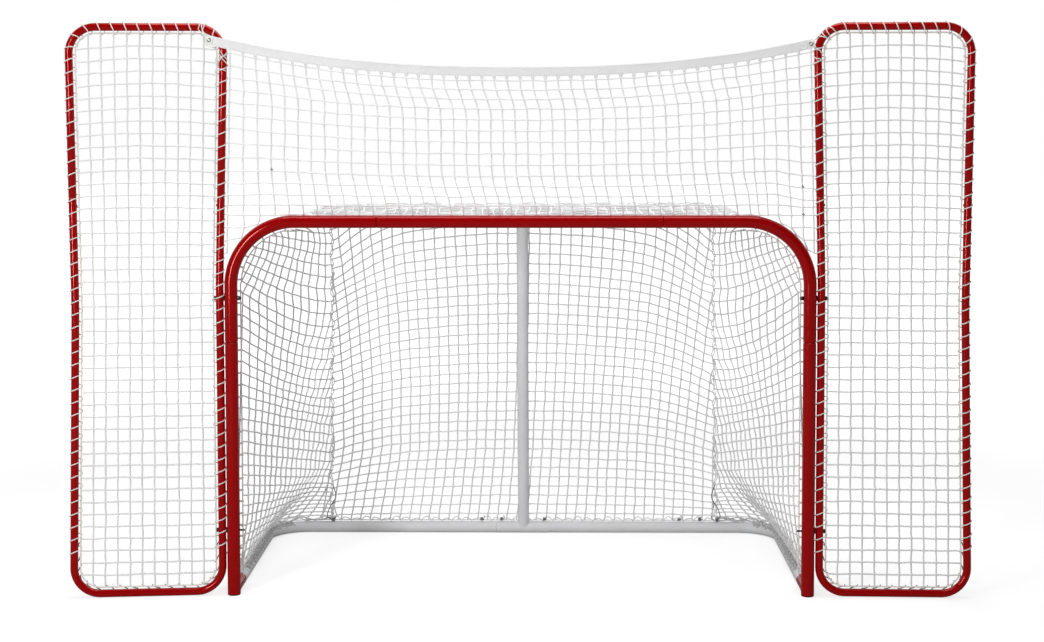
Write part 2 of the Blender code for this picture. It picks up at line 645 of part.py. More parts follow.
def strap_height(x):
    reach = (strap_eye(-1) + strap_eye(1)) / 2
    sag = STRAP_END_HEIGHT - STRAP_MIDDLE_HEIGHT
    return STRAP_MIDDLE_HEIGHT + sag * abs(x / reach) ** STRAP_CURVE


def strap_forward(x):
    # The strap lies on the span net and climbs over the left side frame's tube.
    on_net = (NET_THICKNESS + STRAP_THICKNESS) / 2 + FIT_GAP
    leg = INNER_LEG_X + leg_out(-1, "inner", STRAP_END_HEIGHT)
    past_leg = STRAP_LEFT_PAST_LEG + STRAP_BEYOND_EYE
    on_tube = (PANEL_TUBE / 2 / math.cos(PANEL_SWING[-1]) + STRAP_THICKNESS / 2 + FIT_GAP
               + past_leg * math.tan(PANEL_SWING[-1]))
    climb_end = leg - PANEL_TUBE / 2
    climb_start = climb_end - 2 * FRONT_TUBE
    share = min(1.0, max(0.0, (-x - climb_start) / (climb_end - climb_start)))
    return -(on_net + (on_tube - on_net) * share * share * (3 - 2 * share))


def strap():
    # A flat band with rounded ends is drawn straight, then laid onto the sagging line.
    left = -strap_eye(-1) - STRAP_BEYOND_EYE
    right = strap_eye(1) + STRAP_BEYOND_EYE
    segments = 44
    bm = bmesh.new()
    bmesh.ops.create_grid(bm, x_segments=segments, y_segments=1, size=0.5)
    for vert in bm.verts:
        vert.co = Vector((left + (vert.co.x + 0.5) * (right - left), 0, vert.co.y * STRAP_WIDTH))
    corners = [vert for vert in bm.verts if len(vert.link_edges) == 2]
    bmesh.ops.bevel(bm, geom=corners, affect="VERTICES", offset=STRAP_END_ROUND,
                    offset_type="OFFSET", segments=3, profile=0.5)
    step = 0.001
    for vert in bm.verts:
        x = vert.co.x
        slope = (strap_height(x + step) - strap_height(x - step)) / (2 * step)
        across = Vector((-slope, 0, 1)).normalized()
        vert.co = Vector((x, strap_forward(x), strap_height(x))) + across * vert.co.z
    front = bm.faces[:]
    bmesh.ops.recalc_face_normals(bm, faces=front)
    grown = bmesh.ops.extrude_face_region(bm, geom=parts_of(front))["geom"]
    backs = [item for item in grown if isinstance(item, bmesh.types.BMVert)]
    bmesh.ops.translate(bm, verts=backs, vec=(0, STRAP_THICKNESS, 0))
    bmesh.ops.translate(bm, verts=bm.verts[:], vec=(0, -STRAP_THICKNESS / 2, 0))
    band = add_object("top_strap", bm, WEBBING)
    holes = []
    for label, x in eyelets():
        centre = Vector((x, strap_forward(x), strap_height(x)))
        depth = Vector((0, STRAP_WIDTH, 0))
        holes.append(rod(f"{label}_eyelet_hole", centre - depth, centre + depth,
                         EYELET_BARREL + 2 * FIT_GAP, FIXING_SIDES))
    combine(band, holes, "DIFFERENCE")


def eyelets():
    return [(label, side * strap_eye(side)) for label, side in SIDES]


def eyelet(label, x):
    # Two rims joined by a barrel through the strap, turned round the hole's axis.
    inner, barrel, rim = EYELET_BORE / 2, EYELET_BARREL / 2, EYELET_FLANGE / 2
    face = STRAP_THICKNESS / 2 + FIT_GAP
    edge = face + EYELET_RIM
    outline = ((inner, -edge), (rim, -edge), (rim, -face), (barrel, -face),
               (barrel, face), (rim, face), (rim, edge), (inner, edge))
    bm = bmesh.new()
    verts = [bm.verts.new((radius, depth, 0)) for radius, depth in outline]
    edges = [bm.edges.new((verts[index - 1], verts[index])) for index in range(len(verts))]
    bmesh.ops.spin(bm, geom=verts + edges, cent=(0, 0, 0), axis=(0, 1, 0), angle=2 * math.pi,
                   steps=FIXING_SIDES, use_merge=True)
    bmesh.ops.remove_doubles(bm, verts=bm.verts[:], dist=1e-6)
    bmesh.ops.translate(bm, verts=bm.verts[:], vec=(x, strap_forward(x), strap_height(x)))
    add_object(f"{label}_strap_eyelet", bm, ZINC)


# ---- nets: each a thin closed sheet in the place of the stretched mesh ----

def flat_net(name, outline, normal, turn=None):
    bm = bmesh.new()
    half = Vector(normal) * NET_THICKNESS / 2
    face = bm.faces.new([bm.verts.new(Vector(point) - half) for point in outline])
    grown = bmesh.ops.extrude_face_region(bm, geom=parts_of([face]))["geom"]
    tops = [item for item in grown if isinstance(item, bmesh.types.BMVert)]
    bmesh.ops.translate(bm, verts=tops, vec=half * 2)
    if turn:
        turn(bm)
    add_object(name, bm, TWINE)


def arc(centre, radius, start, end, steps, outside=False):
    # Points in the XZ plane, angles from +X towards +Z. Outside, the chords stay off the circle.
    if outside:
        radius = radius / math.cos((end - start) / steps / 2)
    points = []
    for index in range(steps + 1):
        angle = start + (end - start) * index / steps
        points.append(Vector((centre[0] + radius * math.cos(angle), 0,
                              centre[1] + radius * math.sin(angle))))
    return points


def laid_flat(points, height):
    return [Vector((point.x, point.z, height)) for point in points]


def mirrored(points):
    return [Vector((-point.x, point.y, point.z)) for point in points]


def edge_with_notches(across, depth, heights):
    # A straight upright edge that steps aside round each fixing.
    points = []
    for height in heights:
        half = NET_NOTCH_HEIGHT / 2
        slant = abs(depth)
        points += [Vector((across, 0, height - half - slant)), Vector((across + depth, 0, height - half)),
                   Vector((across + depth, 0, height + half)), Vector((across, 0, height + half + slant))]
    return points


def panel_net(label, side):
    # The side frame's inner outline, with notches for the fixings' heads.
    gap = PANEL_TUBE / 2 + 2 * FIT_GAP
    corner = PANEL_CORNER_RADIUS
    low, high = gap + PANEL_TUBE / 2, PANEL_TOP_Z - gap
    near, far = gap, PANEL_WIDTH - gap
    quarter = math.pi / 2
    screw = PANEL_SEAM_HEIGHT - PLUG_LENGTH / 2
    corners = frame_corners(side)
    outline = arc((near + corner, low + corner), corner, 2 * quarter, 3 * quarter, 5)
    outline += arc((far - corner, low + corner), corner, 3 * quarter, 4 * quarter, 5)
    outline += [Vector((far, 0, corners["outer_bend"][1]))]
    outline += edge_with_notches(far, -NET_NOTCH_DEPTH, [screw])
    outline += arc((far - corner, high - corner), corner, 0, quarter, 5)
    outline += arc((near + corner, high - corner), corner, quarter, 2 * quarter, 5)
    outline += edge_with_notches(near, NET_NOTCH_DEPTH, [screw])[::-1]
    outline += [Vector((near, 0, corners["inner_bend"][1]))]
    outline += edge_with_notches(near, NET_NOTCH_DEPTH, [LOWER_PIN_HEIGHT, UPPER_BOLT_HEIGHT])[::-1]
    points = []
    for point in outline:
        if point.x < PANEL_WIDTH / 2:
            moved = leg_out(side, "inner", point.z)
        else:
            moved = leg_out(side, "outer", point.z) - PANEL_WIDTH
        points.append(frame_point(side, point.x + moved, point.z))
    flat_net(f"{label}_panel_net", points, (0, 1, 0), lambda bm: swing_panel(bm, side))


def span_net():
    # From the crossbar and the corners up to the strap, between the two inner legs.
    reach = CORNER_RADIUS + FRONT_TUBE / 2 + FIT_GAP
    corner_x = POST_X - CORNER_RADIUS
    corner_z = CROSSBAR_Z - CORNER_RADIUS
    lowest = math.asin((SPAN_NET_LOWEST - corner_z) / reach)
    halves = {}
    for side in (-1, 1):
        gap = PANEL_TUBE / 2 + 2 * FIT_GAP
        top_corner = STRAP_END_HEIGHT - STRAP_WIDTH * 1.6
        points = arc((corner_x, corner_z), reach, math.pi / 2, lowest, 7, outside=True)
        for height in (SPAN_NET_LOWEST, top_corner):
            leg = INNER_LEG_X + leg_out(side, "inner", height)
            points.append(Vector((leg - gap, 0, height)))
        halves[side] = [Vector((side * point.x, 0, point.z)) for point in points]
    top_reach = POST_X - FRONT_TUBE / 2
    steps = 24
    top = []
    for index in range(steps + 1):
        x = top_reach * (1 - 2 * index / steps)
        top.append(Vector((x, 0, strap_height(x))))
    flat_net("span_net", halves[1] + top + halves[-1][::-1], (0, 1, 0))


def top_net():
    # Lies on the shelf, from just behind the crossbar to the shelf's rear bar.
    height = CROSSBAR_Z + TEE_TUBE / 2 + FIT_GAP + NET_THICKNESS / 2
    front = FRONT_TUBE / 2 + RAIL_STANDOFF / 2
    rear = laid_flat(arc(SHELF_BEND, SHELF_CORNER_RADIUS, 0, math.pi / 2, 5), height)
    ends = [Vector((-SHELF_HALF_WIDTH, front, height)), Vector((SHELF_HALF_WIDTH, front, height))]
    flat_net("goal_top_net", rear + mirrored(rear[::-1]) + ends, (0, 0, 1))


def back_lean():
    return math.atan2(BASE_DEPTH - SHELF_DEPTH, CROSSBAR_Z - BASE_Z)


def ridge_foot():
    # On the back net, just above the base's back bar.
    height = BASE_Z + TEE_TUBE / 2 + NET_THICKNESS
    lift = (TEE_TUBE / 2 + NET_LIFT) / math.cos(back_lean())
    y = BASE_DEPTH + lift - (height - BASE_Z) * math.tan(back_lean())
    return Vector((RIDGE_BOTTOM, y, height))


def stretched_net(name, bottom, top, front, rear):
    # A sheet stretched between four edges, each given as a list of points.
    columns, rows = len(bottom) - 1, len(front) - 1
    across, up = shares(bottom), shares(front)
    bm = bmesh.new()
    bmesh.ops.create_grid(bm, x_segments=columns, y_segments=rows, size=0.5)
    for vert in bm.verts:
        i, j = round((vert.co.x + 0.5) * columns), round((vert.co.y + 0.5) * rows)
        u, t = across[i], up[j]
        level = bottom[i].lerp(top[i], t) + front[j].lerp(rear[j], u)
        vert.co = level - bottom[0].lerp(bottom[-1], u).lerp(top[0].lerp(top[-1], u), t)
    net = add_object(name, bm, TWINE)
    solid = net.modifiers.new("thickness", "SOLIDIFY")
    solid.thickness = NET_THICKNESS
    solid.offset = 0.0
    solid.use_even_offset = True


def shares(points):
    # How far along the line each point lies, from 0 to 1.
    lengths = [0.0]
    for before, after in zip(points, points[1:]):
        lengths.append(lengths[-1] + (after - before).length)
    return [length / lengths[-1] for length in lengths]


def even_line(start, end, steps):
    return [start.lerp(end, index / steps) for index in range(steps + 1)]


def back_net():
    # Wraps the rear of the shelf from bend to bend and runs down behind the centre post.
    foot = ridge_foot()
    reach = SHELF_CORNER_RADIUS + (TEE_TUBE / 2 + NET_LIFT) / math.cos(back_lean())
    half = laid_flat(arc(SHELF_BEND, reach, RIDGE_ANGLE, math.pi / 2, 3, outside=True), CROSSBAR_Z)
    top = half + mirrored(half[::-1])
    bottom = [Vector((point.x * foot.x / half[0].x, foot.y, foot.z)) for point in top]
    rows = 6
    stretched_net("goal_back_net", bottom, top, even_line(bottom[0], top[0], rows),
                  even_line(bottom[-1], top[-1], rows))


def side_net(label, side):
    # Hung between the post and corner, the base tube, the shelf's arm and the ridge.
    front = RAIL_Y + RAIL_ROD / 2 + NET_LIFT
    low = BASE_Z + REAR_TUBE / 2 + 2 * FIT_GAP
    foot = ridge_foot() - Vector((0, NET_LIFT + FIT_GAP, 0))
    post_foot = Vector((POST_X, front, low))
    corner = arc((POST_X - CORNER_RADIUS, CROSSBAR_Z - CORNER_RADIUS), CORNER_RADIUS, 0,
                 math.radians(80), 4)
    front_edge = even_line(post_foot, Vector((corner[0].x, front, corner[0].z)), 3)
    front_edge += [Vector((point.x, front, point.z)) for point in corner[1:]]

    bend = (POST_X - BASE_CORNER_RADIUS, BASE_DEPTH - BASE_CORNER_RADIUS)
    bend_points = laid_flat(arc(bend, BASE_CORNER_RADIUS, 0, math.pi / 2, 3), low)
    bottom_edge = even_line(post_foot, bend_points[0], 3) + bend_points[1:] + [foot]

    reach = SHELF_CORNER_RADIUS + REAR_TUBE / 2 + NET_LIFT
    last = RIDGE_ANGLE - 2 * NET_LIFT / reach
    shelf_points = laid_flat(arc(SHELF_BEND, reach, 0, last, 4, outside=True), CROSSBAR_Z)
    arm_start = Vector((shelf_points[0].x, SHELF_STUB_LENGTH, CROSSBAR_Z))
    top_edge = [front_edge[-1]] + even_line(arm_start, shelf_points[0], 2) + shelf_points[1:]

    rear_edge = even_line(foot, shelf_points[-1], len(front_edge) - 1)
    edges = [bottom_edge, top_edge, front_edge, rear_edge]
    if side < 0:
        edges = [mirrored(edge) for edge in edges]
    stretched_net(f"goal_{label}_net", *edges)


SIDES = (("left", -1), ("right", 1))


def build():
    clear_scene()
    crossbar()
    for label, side in SIDES:
        lower_post(label, side)
        foot_cap(label, side)
        corner_tube(label, side)
        rear_tube(f"{label}_base_tube", side, POST_X, BASE_DEPTH, BASE_Z,
                  BASE_CORNER_RADIUS, BASE_STUB_LENGTH)
        rear_tube(f"{label}_shelf_tube", side, SHELF_HALF_WIDTH, SHELF_DEPTH, CROSSBAR_Z,
                  SHELF_CORNER_RADIUS, SHELF_STUB_LENGTH)
        panel_lower(label, side)
        panel_upper(label, side)
        side_bolt(label, side)
        side_pin(label, side)
        spacer(f"{label}_upper_spacer", side, UPPER_BOLT_HEIGHT, BOLT_DIAMETER)
        spacer(f"{label}_lower_spacer", side, LOWER_PIN_HEIGHT, PIN_DIAMETER)
        button_screw(f"{label}_crossbar_screw",
                     (side * CROSSBAR_SCREW, -FRONT_TUBE / 2, CROSSBAR_Z), (0, -1, 0), RED)
        for leg in ("inner", "outer"):
            seat, out = panel_screw_place(side, leg)
            button_screw(f"{label}_{leg}_frame_screw", seat, out, DARK)
        panel_net(label, side)
        side_net(label, side)
    centre_post()
    strap()
    for label, x in eyelets():
        eyelet(label, x)
    span_net()
    top_net()
    back_net()


build()
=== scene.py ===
import math
import random

import bmesh
import bpy
import numpy as np
from mathutils import Matrix, Vector


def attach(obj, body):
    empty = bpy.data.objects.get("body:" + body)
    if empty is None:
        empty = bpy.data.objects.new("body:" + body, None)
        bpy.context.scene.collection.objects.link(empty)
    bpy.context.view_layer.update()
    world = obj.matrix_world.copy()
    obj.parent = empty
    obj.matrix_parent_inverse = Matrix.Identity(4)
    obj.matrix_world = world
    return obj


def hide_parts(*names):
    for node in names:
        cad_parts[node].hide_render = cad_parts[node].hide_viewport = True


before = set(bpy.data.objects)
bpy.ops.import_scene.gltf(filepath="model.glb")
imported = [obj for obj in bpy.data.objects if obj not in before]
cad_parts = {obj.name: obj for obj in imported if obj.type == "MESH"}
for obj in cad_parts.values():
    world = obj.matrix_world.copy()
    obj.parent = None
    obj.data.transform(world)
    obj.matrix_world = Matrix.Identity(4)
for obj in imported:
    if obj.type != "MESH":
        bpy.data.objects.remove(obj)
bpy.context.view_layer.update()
scene = bpy.context.scene
print("frame loaded:", len(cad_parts), "nodes")

# lengths below are measured from the middle of the goal mouth at floor level, which lies here
# in the row frame: +X to the right of someone who looks into the goal, +Y into it.
mouth = Vector((-0.00101947, -0.41132002, 0.0))
bothSides = (("left", -1), ("right", 1))


# camera, low and straight in front, a little right of the middle
cameraSetup = {
    "lens": 62.2,           # millimetres, on a sensor this wide
    "sensor": 36,
    "sight": 60,            # how far it sees
    "aside": 0.007,         # right of the mouth's middle
    "distance": 5.80,       # in front of the mouth
    "height": 1.611,
    "turn": 0.78,           # degrees about the vertical
    "down": 3.5,            # degrees
    "roll": -0.06,
    "shift": -0.1054,       # the photograph is cropped from the lower part of a taller view
}


def makeCamera(setup):
    data = bpy.data.cameras.new("camera")
    data.lens = setup["lens"]
    data.sensor_width = setup["sensor"]
    data.shift_y = setup["shift"]
    data.clip_end = setup["sight"]
    camera = bpy.data.objects.new("camera", data)
    turn = Matrix.Rotation(math.radians(setup["turn"]), 4, "Z")
    spot = turn @ Vector((setup["aside"], -setup["distance"], setup["height"])) + mouth
    look = Matrix.Rotation(math.radians(90 - setup["down"]), 4, "X")
    roll = Matrix.Rotation(math.radians(setup["roll"]), 4, "Z")
    camera.matrix_world = Matrix.Translation(spot) @ turn @ look @ roll
    scene.collection.objects.link(camera)
    scene.camera = camera


makeCamera(cameraSetup)
print("camera set")


# floor, world and lamps
studioSetup = {
    "floorSize": 60.0,
    "floorShade": 0.58,
    "floorLift": 0.64,      # brings the lit floor up to the white of the backdrop
    "floorFade": (2.2, 5.0),    # where the floor goes over into the backdrop's white
    "worldLight": 0.24,
    "mirrored": 0.15,       # how much of the floor's white the tubes mirror
    "mirroredFloor": 0.2,   # and of the light that falls on it
    "dimInFront": -0.26,    # the tubes mirror a darker room in front of the goal
    "whiteBehind": (-0.1, 0.35),    # the mirrored backdrop is white only behind the goal
    "softOnly": ("fillLamp",),      # lamps the tubes do not mirror
    "lamps": {              # name: place, aimed at, width, height, watts
        "keyLamp": ((-2.9, -4.6, 1.6), (0.0, 0.0, 0.9), 0.8, 2.2, 108),
        "fillLamp": ((1.2, -5.8, 1.9), (0.0, 0.0, 0.9), 2.4, 2.2, 48),
        "overLamp": ((0.0, -0.4, 3.5), (0.0, -0.4, 0.0), 3.0, 1.6, 58),
        "rearLamp": ((0.0, 4.6, 3.4), (0.0, 0.2, 0.8), 3.4, 1.6, 34),
    },
}


def addNode(tree, kind, values=None, operation=None):
    # a shader node, with the values of the inputs that nothing is linked to
    node = tree.nodes.new("ShaderNode" + kind)
    if operation:
        node.operation = operation
    for name, value in (values or {}).items():
        node.inputs[name].default_value = value
    return node


def makeFloor(setup):
    bm = bmesh.new()
    bmesh.ops.create_grid(bm, x_segments=1, y_segments=1, size=setup["floorSize"] / 2)
    mesh = bpy.data.meshes.new("floor")
    bm.to_mesh(mesh)
    bm.free()
    floor = bpy.data.objects.new("floor", mesh)
    scene.collection.objects.link(floor)
    material = bpy.data.materials.new("floorPaint")
    material.use_nodes = True
    tree = material.node_tree
    tree.nodes.clear()
    link = tree.links.new
    out = addNode(tree, "OutputMaterial")
    path = addNode(tree, "LightPath")
    # the floor's own shade, darker in what the tubes mirror
    paint = addNode(tree, "BsdfDiffuse")
    shade = addNode(tree, "MapRange", {"To Min": setup["floorShade"],
                                       "To Max": setup["floorShade"] * setup["mirroredFloor"]})
    link(path.outputs["Is Glossy Ray"], shade.inputs["Value"])
    link(shade.outputs[0], paint.inputs["Color"])
    # its glow; far off, the floor shows as plain white
    place = addNode(tree, "TexCoord")
    far = addNode(tree, "VectorMath", operation="LENGTH")
    near, end = setup["floorFade"]
    fade = addNode(tree, "MapRange", {"From Min": near, "From Max": end,
                                      "To Min": setup["floorLift"], "To Max": 1.0})
    fade.interpolation_type = "SMOOTHSTEP"
    seen = addNode(tree, "Math", {1: setup["mirrored"]}, "MULTIPLY_ADD")
    seen.use_clamp = True
    lift = addNode(tree, "Math", operation="MULTIPLY")
    glow = addNode(tree, "Emission")
    link(place.outputs["Object"], far.inputs[0])
    link(far.outputs["Value"], fade.inputs["Value"])
    link(path.outputs["Is Glossy Ray"], seen.inputs[0])
    link(path.outputs["Is Camera Ray"], seen.inputs[2])
    link(seen.outputs[0], lift.inputs[0])
    link(fade.outputs[0], lift.inputs[1])
    link(lift.outputs[0], glow.inputs["Strength"])
    both = addNode(tree, "AddShader")
    link(paint.outputs[0], both.inputs[0])
    link(glow.outputs[0], both.inputs[1])
    link(both.outputs[0], out.inputs["Surface"])
    mesh.materials.append(material)


def makeWorld(setup):
    world = bpy.data.worlds.new("studio")
    world.use_nodes = True
    scene.world = world
    tree = world.node_tree
    tree.nodes.clear()
    link = tree.links.new
    out = addNode(tree, "OutputWorld")
    glow = addNode(tree, "Background", {"Color": (1, 1, 1, 1)})
    path = addNode(tree, "LightPath")
    # what the tubes mirror: white behind the goal, dark in front of it
    place = addNode(tree, "TexCoord")
    split = addNode(tree, "SeparateXYZ")
    low, high = setup["whiteBehind"]
    behind = addNode(tree, "MapRange", {"From Min": low, "From Max": high,
                                        "To Min": setup["dimInFront"]})
    mirrored = addNode(tree, "Math", operation="MULTIPLY")
    link(place.outputs["Generated"], split.inputs[0])
    link(split.outputs["Y"], behind.inputs["Value"])
    link(behind.outputs[0], mirrored.inputs[0])
    link(path.outputs["Is Glossy Ray"], mirrored.inputs[1])
    # the camera sees it white, and the rest is lit by its own weaker light
    seen = addNode(tree, "Math", operation="ADD")
    through = addNode(tree, "Math", operation="ADD")
    level = addNode(tree, "MapRange", {"To Min": setup["worldLight"], "To Max": 1.0})
    level.clamp = False
    link(path.outputs["Is Camera Ray"], seen.inputs[0])
    link(mirrored.outputs[0], seen.inputs[1])
    link(seen.outputs[0], through.inputs[0])
    link(path.outputs["Is Transmission Ray"], through.inputs[1])
    link(through.outputs[0], level.inputs["Value"])
    link(level.outputs[0], glow.inputs["Strength"])
    link(glow.outputs[0], out.inputs["Surface"])


def makeLamps(setup):
    for name, (spot, aim, width, height, watts) in setup["lamps"].items():
        data = bpy.data.lights.new(name, "AREA")
        data.shape = "RECTANGLE"
        data.size, data.size_y = width, height
        data.energy = watts
        lamp = bpy.data.objects.new(name, data)
        lamp.location = spot
        lamp.rotation_euler = (Vector(aim) - Vector(spot)).to_track_quat("-Z", "Y").to_euler()
        lamp.visible_glossy = name not in setup["softOnly"]
        scene.collection.objects.link(lamp)


makeFloor(studioSetup)
makeWorld(studioSetup)
makeLamps(studioSetup)
scene.view_settings.view_transform = "Standard"
print("studio ready")


# finishes: each is a plain shader fed by its kind's group of surface detail
twine = {"slot": "net_twine", "kind": "twine", "rough": (0.70, 0.92), "peel": 0.5, "specular": 0.25}
finishSetup = {
    "redPaint": {"slot": "red_powder_coat", "kind": "paint", "colour": (0.33, 0.0, 0.001),
                 "dark": (0.26, 0.0, 0.001), "rough": (0.09, 0.16), "peel": 0.04,
                 "specular": 0.8, "tint": (1.0, 0.34, 0.30)},
    "greyPaint": {"slot": "light_grey_powder_coat", "kind": "paint",
                  "colour": (0.81, 0.812, 0.825), "dark": (0.71, 0.712, 0.725),
                  "rough": (0.28, 0.44), "peel": 0.04, "specular": 0.35},
    "darkSteel": {"slot": "dark_steel", "kind": "metal", "colour": (0.10, 0.10, 0.105),
                  "dark": (0.03, 0.028, 0.027), "rough": (0.30, 0.55), "peel": 0.12,
                  "specular": 0.5},
    "zincPlate": {"slot": "zinc", "kind": "metal", "colour": (0.24, 0.24, 0.235),
                  "dark": (0.12, 0.12, 0.115), "rough": (0.22, 0.42), "peel": 0.08,
                  "specular": 0.5},
    "capPlastic": {"slot": "foot_cap_plastic", "kind": "plastic", "colour": (0.028, 0.008, 0.008),
                   "dark": (0.015, 0.006, 0.006), "rough": (0.45, 0.65), "peel": 0.15,
                   "specular": 0.35},
    "spacerNylon": {"slot": "spacer_nylon", "kind": "plastic", "colour": (0.035, 0.033, 0.034),
                    "dark": (0.018, 0.017, 0.018), "rough": (0.42, 0.60), "peel": 0.10,
                    "specular": 0.35},
    "netTwine": {**twine, "colour": (0.82, 0.82, 0.82), "dark": (0.69, 0.692, 0.695)},
    "laceCord": {**twine, "colour": (0.84, 0.82, 0.78), "dark": (0.66, 0.63, 0.60),
                 "rough": (0.65, 0.88)},
    # painted light: a lighter copy of the twine for the net on the shelf and its lacing, against
    # the shade they lie in
    "litTwine": {**twine, "colour": (0.92, 0.92, 0.92), "dark": (0.84, 0.84, 0.84)},
    "spanTwine": {**twine, "colour": (0.90, 0.90, 0.90), "dark": (0.78, 0.782, 0.785)},
    # the goal's net: lighter towards the floor and greyer higher up
    "goalTwine": {**twine, "kind": "heightToneTwine", "colour": (0.90, 0.90, 0.90),
                  "dark": (0.40, 0.40, 0.405)},
    # painted shade: a darker copy of the net twine for the strands gathered low at the base's bends
    "shadedTwine": {**twine, "colour": (0.60, 0.60, 0.60), "dark": (0.42, 0.42, 0.425)},
    # painted shadow: a dark copy of the twine for ties and loops that sit in shadow at the bars
    "shadowTwine": {**twine, "colour": (0.22, 0.22, 0.23), "dark": (0.10, 0.10, 0.105)},
    "strapWeb": {"slot": "webbing", "kind": "weave", "colour": (0.97, 0.97, 0.97),
                 "dark": (0.92, 0.92, 0.92), "rough": (0.62, 0.86), "peel": 0.6,
                 "specular": 0.25},
    "strapThread": {"slot": "webbing", "kind": "twine", "colour": (0.82, 0.82, 0.82),
                    "dark": (0.68, 0.68, 0.68), "rough": (0.60, 0.80), "peel": 0.3,
                    "specular": 0.25},
}
surfaceScale = {            # waves of colour, fine roughness and bump, per metre
    "paint": (7.0, 90.0, 900.0),
    "metal": (40.0, 400.0, 1400.0),
    "plastic": (30.0, 300.0, 1600.0),
    "twine": (16.0, 500.0, 1500.0),
    "heightToneTwine": (16.0, 500.0, 1500.0),
    "weave": (9.0, 300.0, 1200.0),
}
surfaceSetup = {
    "details": (3.0, 4.0, 2.0),     # of the three noises
    "Tone": (0.36, 0.66),           # the part of the noise that makes the mask
    "Grain": (0.40, 0.68),
    "toneHeights": (0.15, 0.85),       # heights over which the net's tone goes from light to greyer
    "toneAtFoot": 0.85,
    "patches": 0.15,                # how much the tone varies in patches
    "ribs": 0.0022,                 # pitches of the woven band
    "yarns": 0.0018,
    "leastTone": 0.72,              # how near the dark tone comes to the light one
    "bump": 0.0006,
}


def surfaceGroup(kind, scales):
    # puts out two masks for colour and roughness, and a height for the bump
    setup = surfaceSetup
    group = bpy.data.node_groups.new(kind + "Surface", "ShaderNodeTree")
    for name in ("Tone", "Grain", "Height"):
        group.interface.new_socket(name=name, in_out="OUTPUT", socket_type="NodeSocketFloat")
    link = group.links.new
    out = group.nodes.new("NodeGroupOutput")
    place = addNode(group, "TexCoord")
    noises = []
    for scale, detail in zip(scales, setup["details"]):
        noise = addNode(group, "TexNoise", {"Scale": scale, "Detail": detail})
        link(place.outputs["Object"], noise.inputs["Vector"])
        noises.append(noise.outputs["Fac"])
    for noise, name in zip(noises, ("Tone", "Grain")):
        low, high = setup[name]
        level = addNode(group, "MapRange", {"From Min": low, "From Max": high})
        link(noise, level.inputs["Value"])
        mask = level.outputs[0]
        # the goal net's tone follows height: lighter low down, greyer higher up
        if kind == "heightToneTwine" and name == "Tone":
            mask = heightToneMask(group, place, mask)
        link(mask, out.inputs[name])
    link(weaveHeight(group) if kind == "weave" else noises[2], out.inputs["Height"])
    return group


def heightToneMask(group, place, patches):
    # the goal's net is lighter towards the floor and greyer higher up, in slight uneven patches
    setup, link = surfaceSetup, group.links.new
    start, end = setup["toneHeights"]
    split = addNode(group, "SeparateXYZ")
    low = addNode(group, "MapRange", {"From Min": start, "From Max": end,
                                      "To Min": setup["toneAtFoot"], "To Max": 0.0})
    mask = addNode(group, "Math", {1: setup["patches"]}, "MULTIPLY_ADD")
    link(place.outputs["Object"], split.inputs[0])
    link(split.outputs["Z"], low.inputs["Value"])
    link(patches, mask.inputs[0])
    link(low.outputs[0], mask.inputs[2])
    return mask.outputs[0]


def weaveHeight(group):
    # ribs across the band, crossed by finer yarns along it
    setup, link = surfaceSetup, group.links.new
    place = addNode(group, "UVMap")
    place.uv_map = "weave"
    split = addNode(group, "SeparateXYZ")
    product = addNode(group, "Math", {2: 0.5}, "MULTIPLY_ADD")
    link(place.outputs["UV"], split.inputs[0])
    for index, (pitch, turn) in enumerate(((setup["ribs"], 0.0), (setup["yarns"], math.pi / 2))):
        scaled = addNode(group, "Math", {1: 2 * math.pi / pitch, 2: turn}, "MULTIPLY_ADD")
        wave = addNode(group, "Math", operation="SINE")
        link(split.outputs[index], scaled.inputs[0])
        link(scaled.outputs[0], wave.inputs[0])
        link(wave.outputs[0], product.inputs[index])
    return product.outputs[0]


surfaceGroups = {kind: surfaceGroup(kind, scales) for kind, scales in surfaceScale.items()}


def makeFinish(name, setup):
    material = bpy.data.materials.new(name)
    material.use_nodes = True
    tree = material.node_tree
    link = tree.links.new
    shader = tree.nodes["Principled BSDF"]
    shader.inputs["Metallic"].default_value = 1.0 if setup["kind"] == "metal" else 0.0
    shader.inputs["Specular IOR Level"].default_value = setup["specular"]
    shader.inputs["Specular Tint"].default_value = (*setup.get("tint", (1, 1, 1)), 1)
    detail = addNode(tree, "Group")
    detail.node_tree = surfaceGroups[setup["kind"]]
    shade = addNode(tree, "Mix")
    shade.data_type = "RGBA"
    shade.inputs["A"].default_value = (*setup["dark"], 1)
    shade.inputs["B"].default_value = (*setup["colour"], 1)
    depth = addNode(tree, "MapRange", {"To Min": surfaceSetup["leastTone"], "To Max": 1.0})
    link(detail.outputs["Tone"], depth.inputs["Value"])
    link(depth.outputs[0], shade.inputs["Factor"])
    link(shade.outputs["Result"], shader.inputs["Base Color"])
    smoothest, roughest = setup["rough"]
    rough = addNode(tree, "MapRange", {"To Min": smoothest, "To Max": roughest})
    link(detail.outputs["Grain"], rough.inputs["Value"])
    link(rough.outputs[0], shader.inputs["Roughness"])
    bump = addNode(tree, "Bump", {"Strength": setup["peel"], "Distance": surfaceSetup["bump"]})
    link(detail.outputs["Height"], bump.inputs["Height"])
    link(bump.outputs[0], shader.inputs["Normal"])
    return material


finishes = {name: makeFinish(name, setup) for name, setup in finishSetup.items()}
print("finishes made:", len(finishes))


# shared making of pieces
def smooth(share):
    share = min(1.0, max(0.0, share))
    return share * share * (3 - 2 * share)


def lookUp(at, places, values):
    return float(np.interp(at, places, values))


def onSide(side, point):
    # the right half's point, or its mirror image
    return Vector((side * point.x, point.y, point.z))


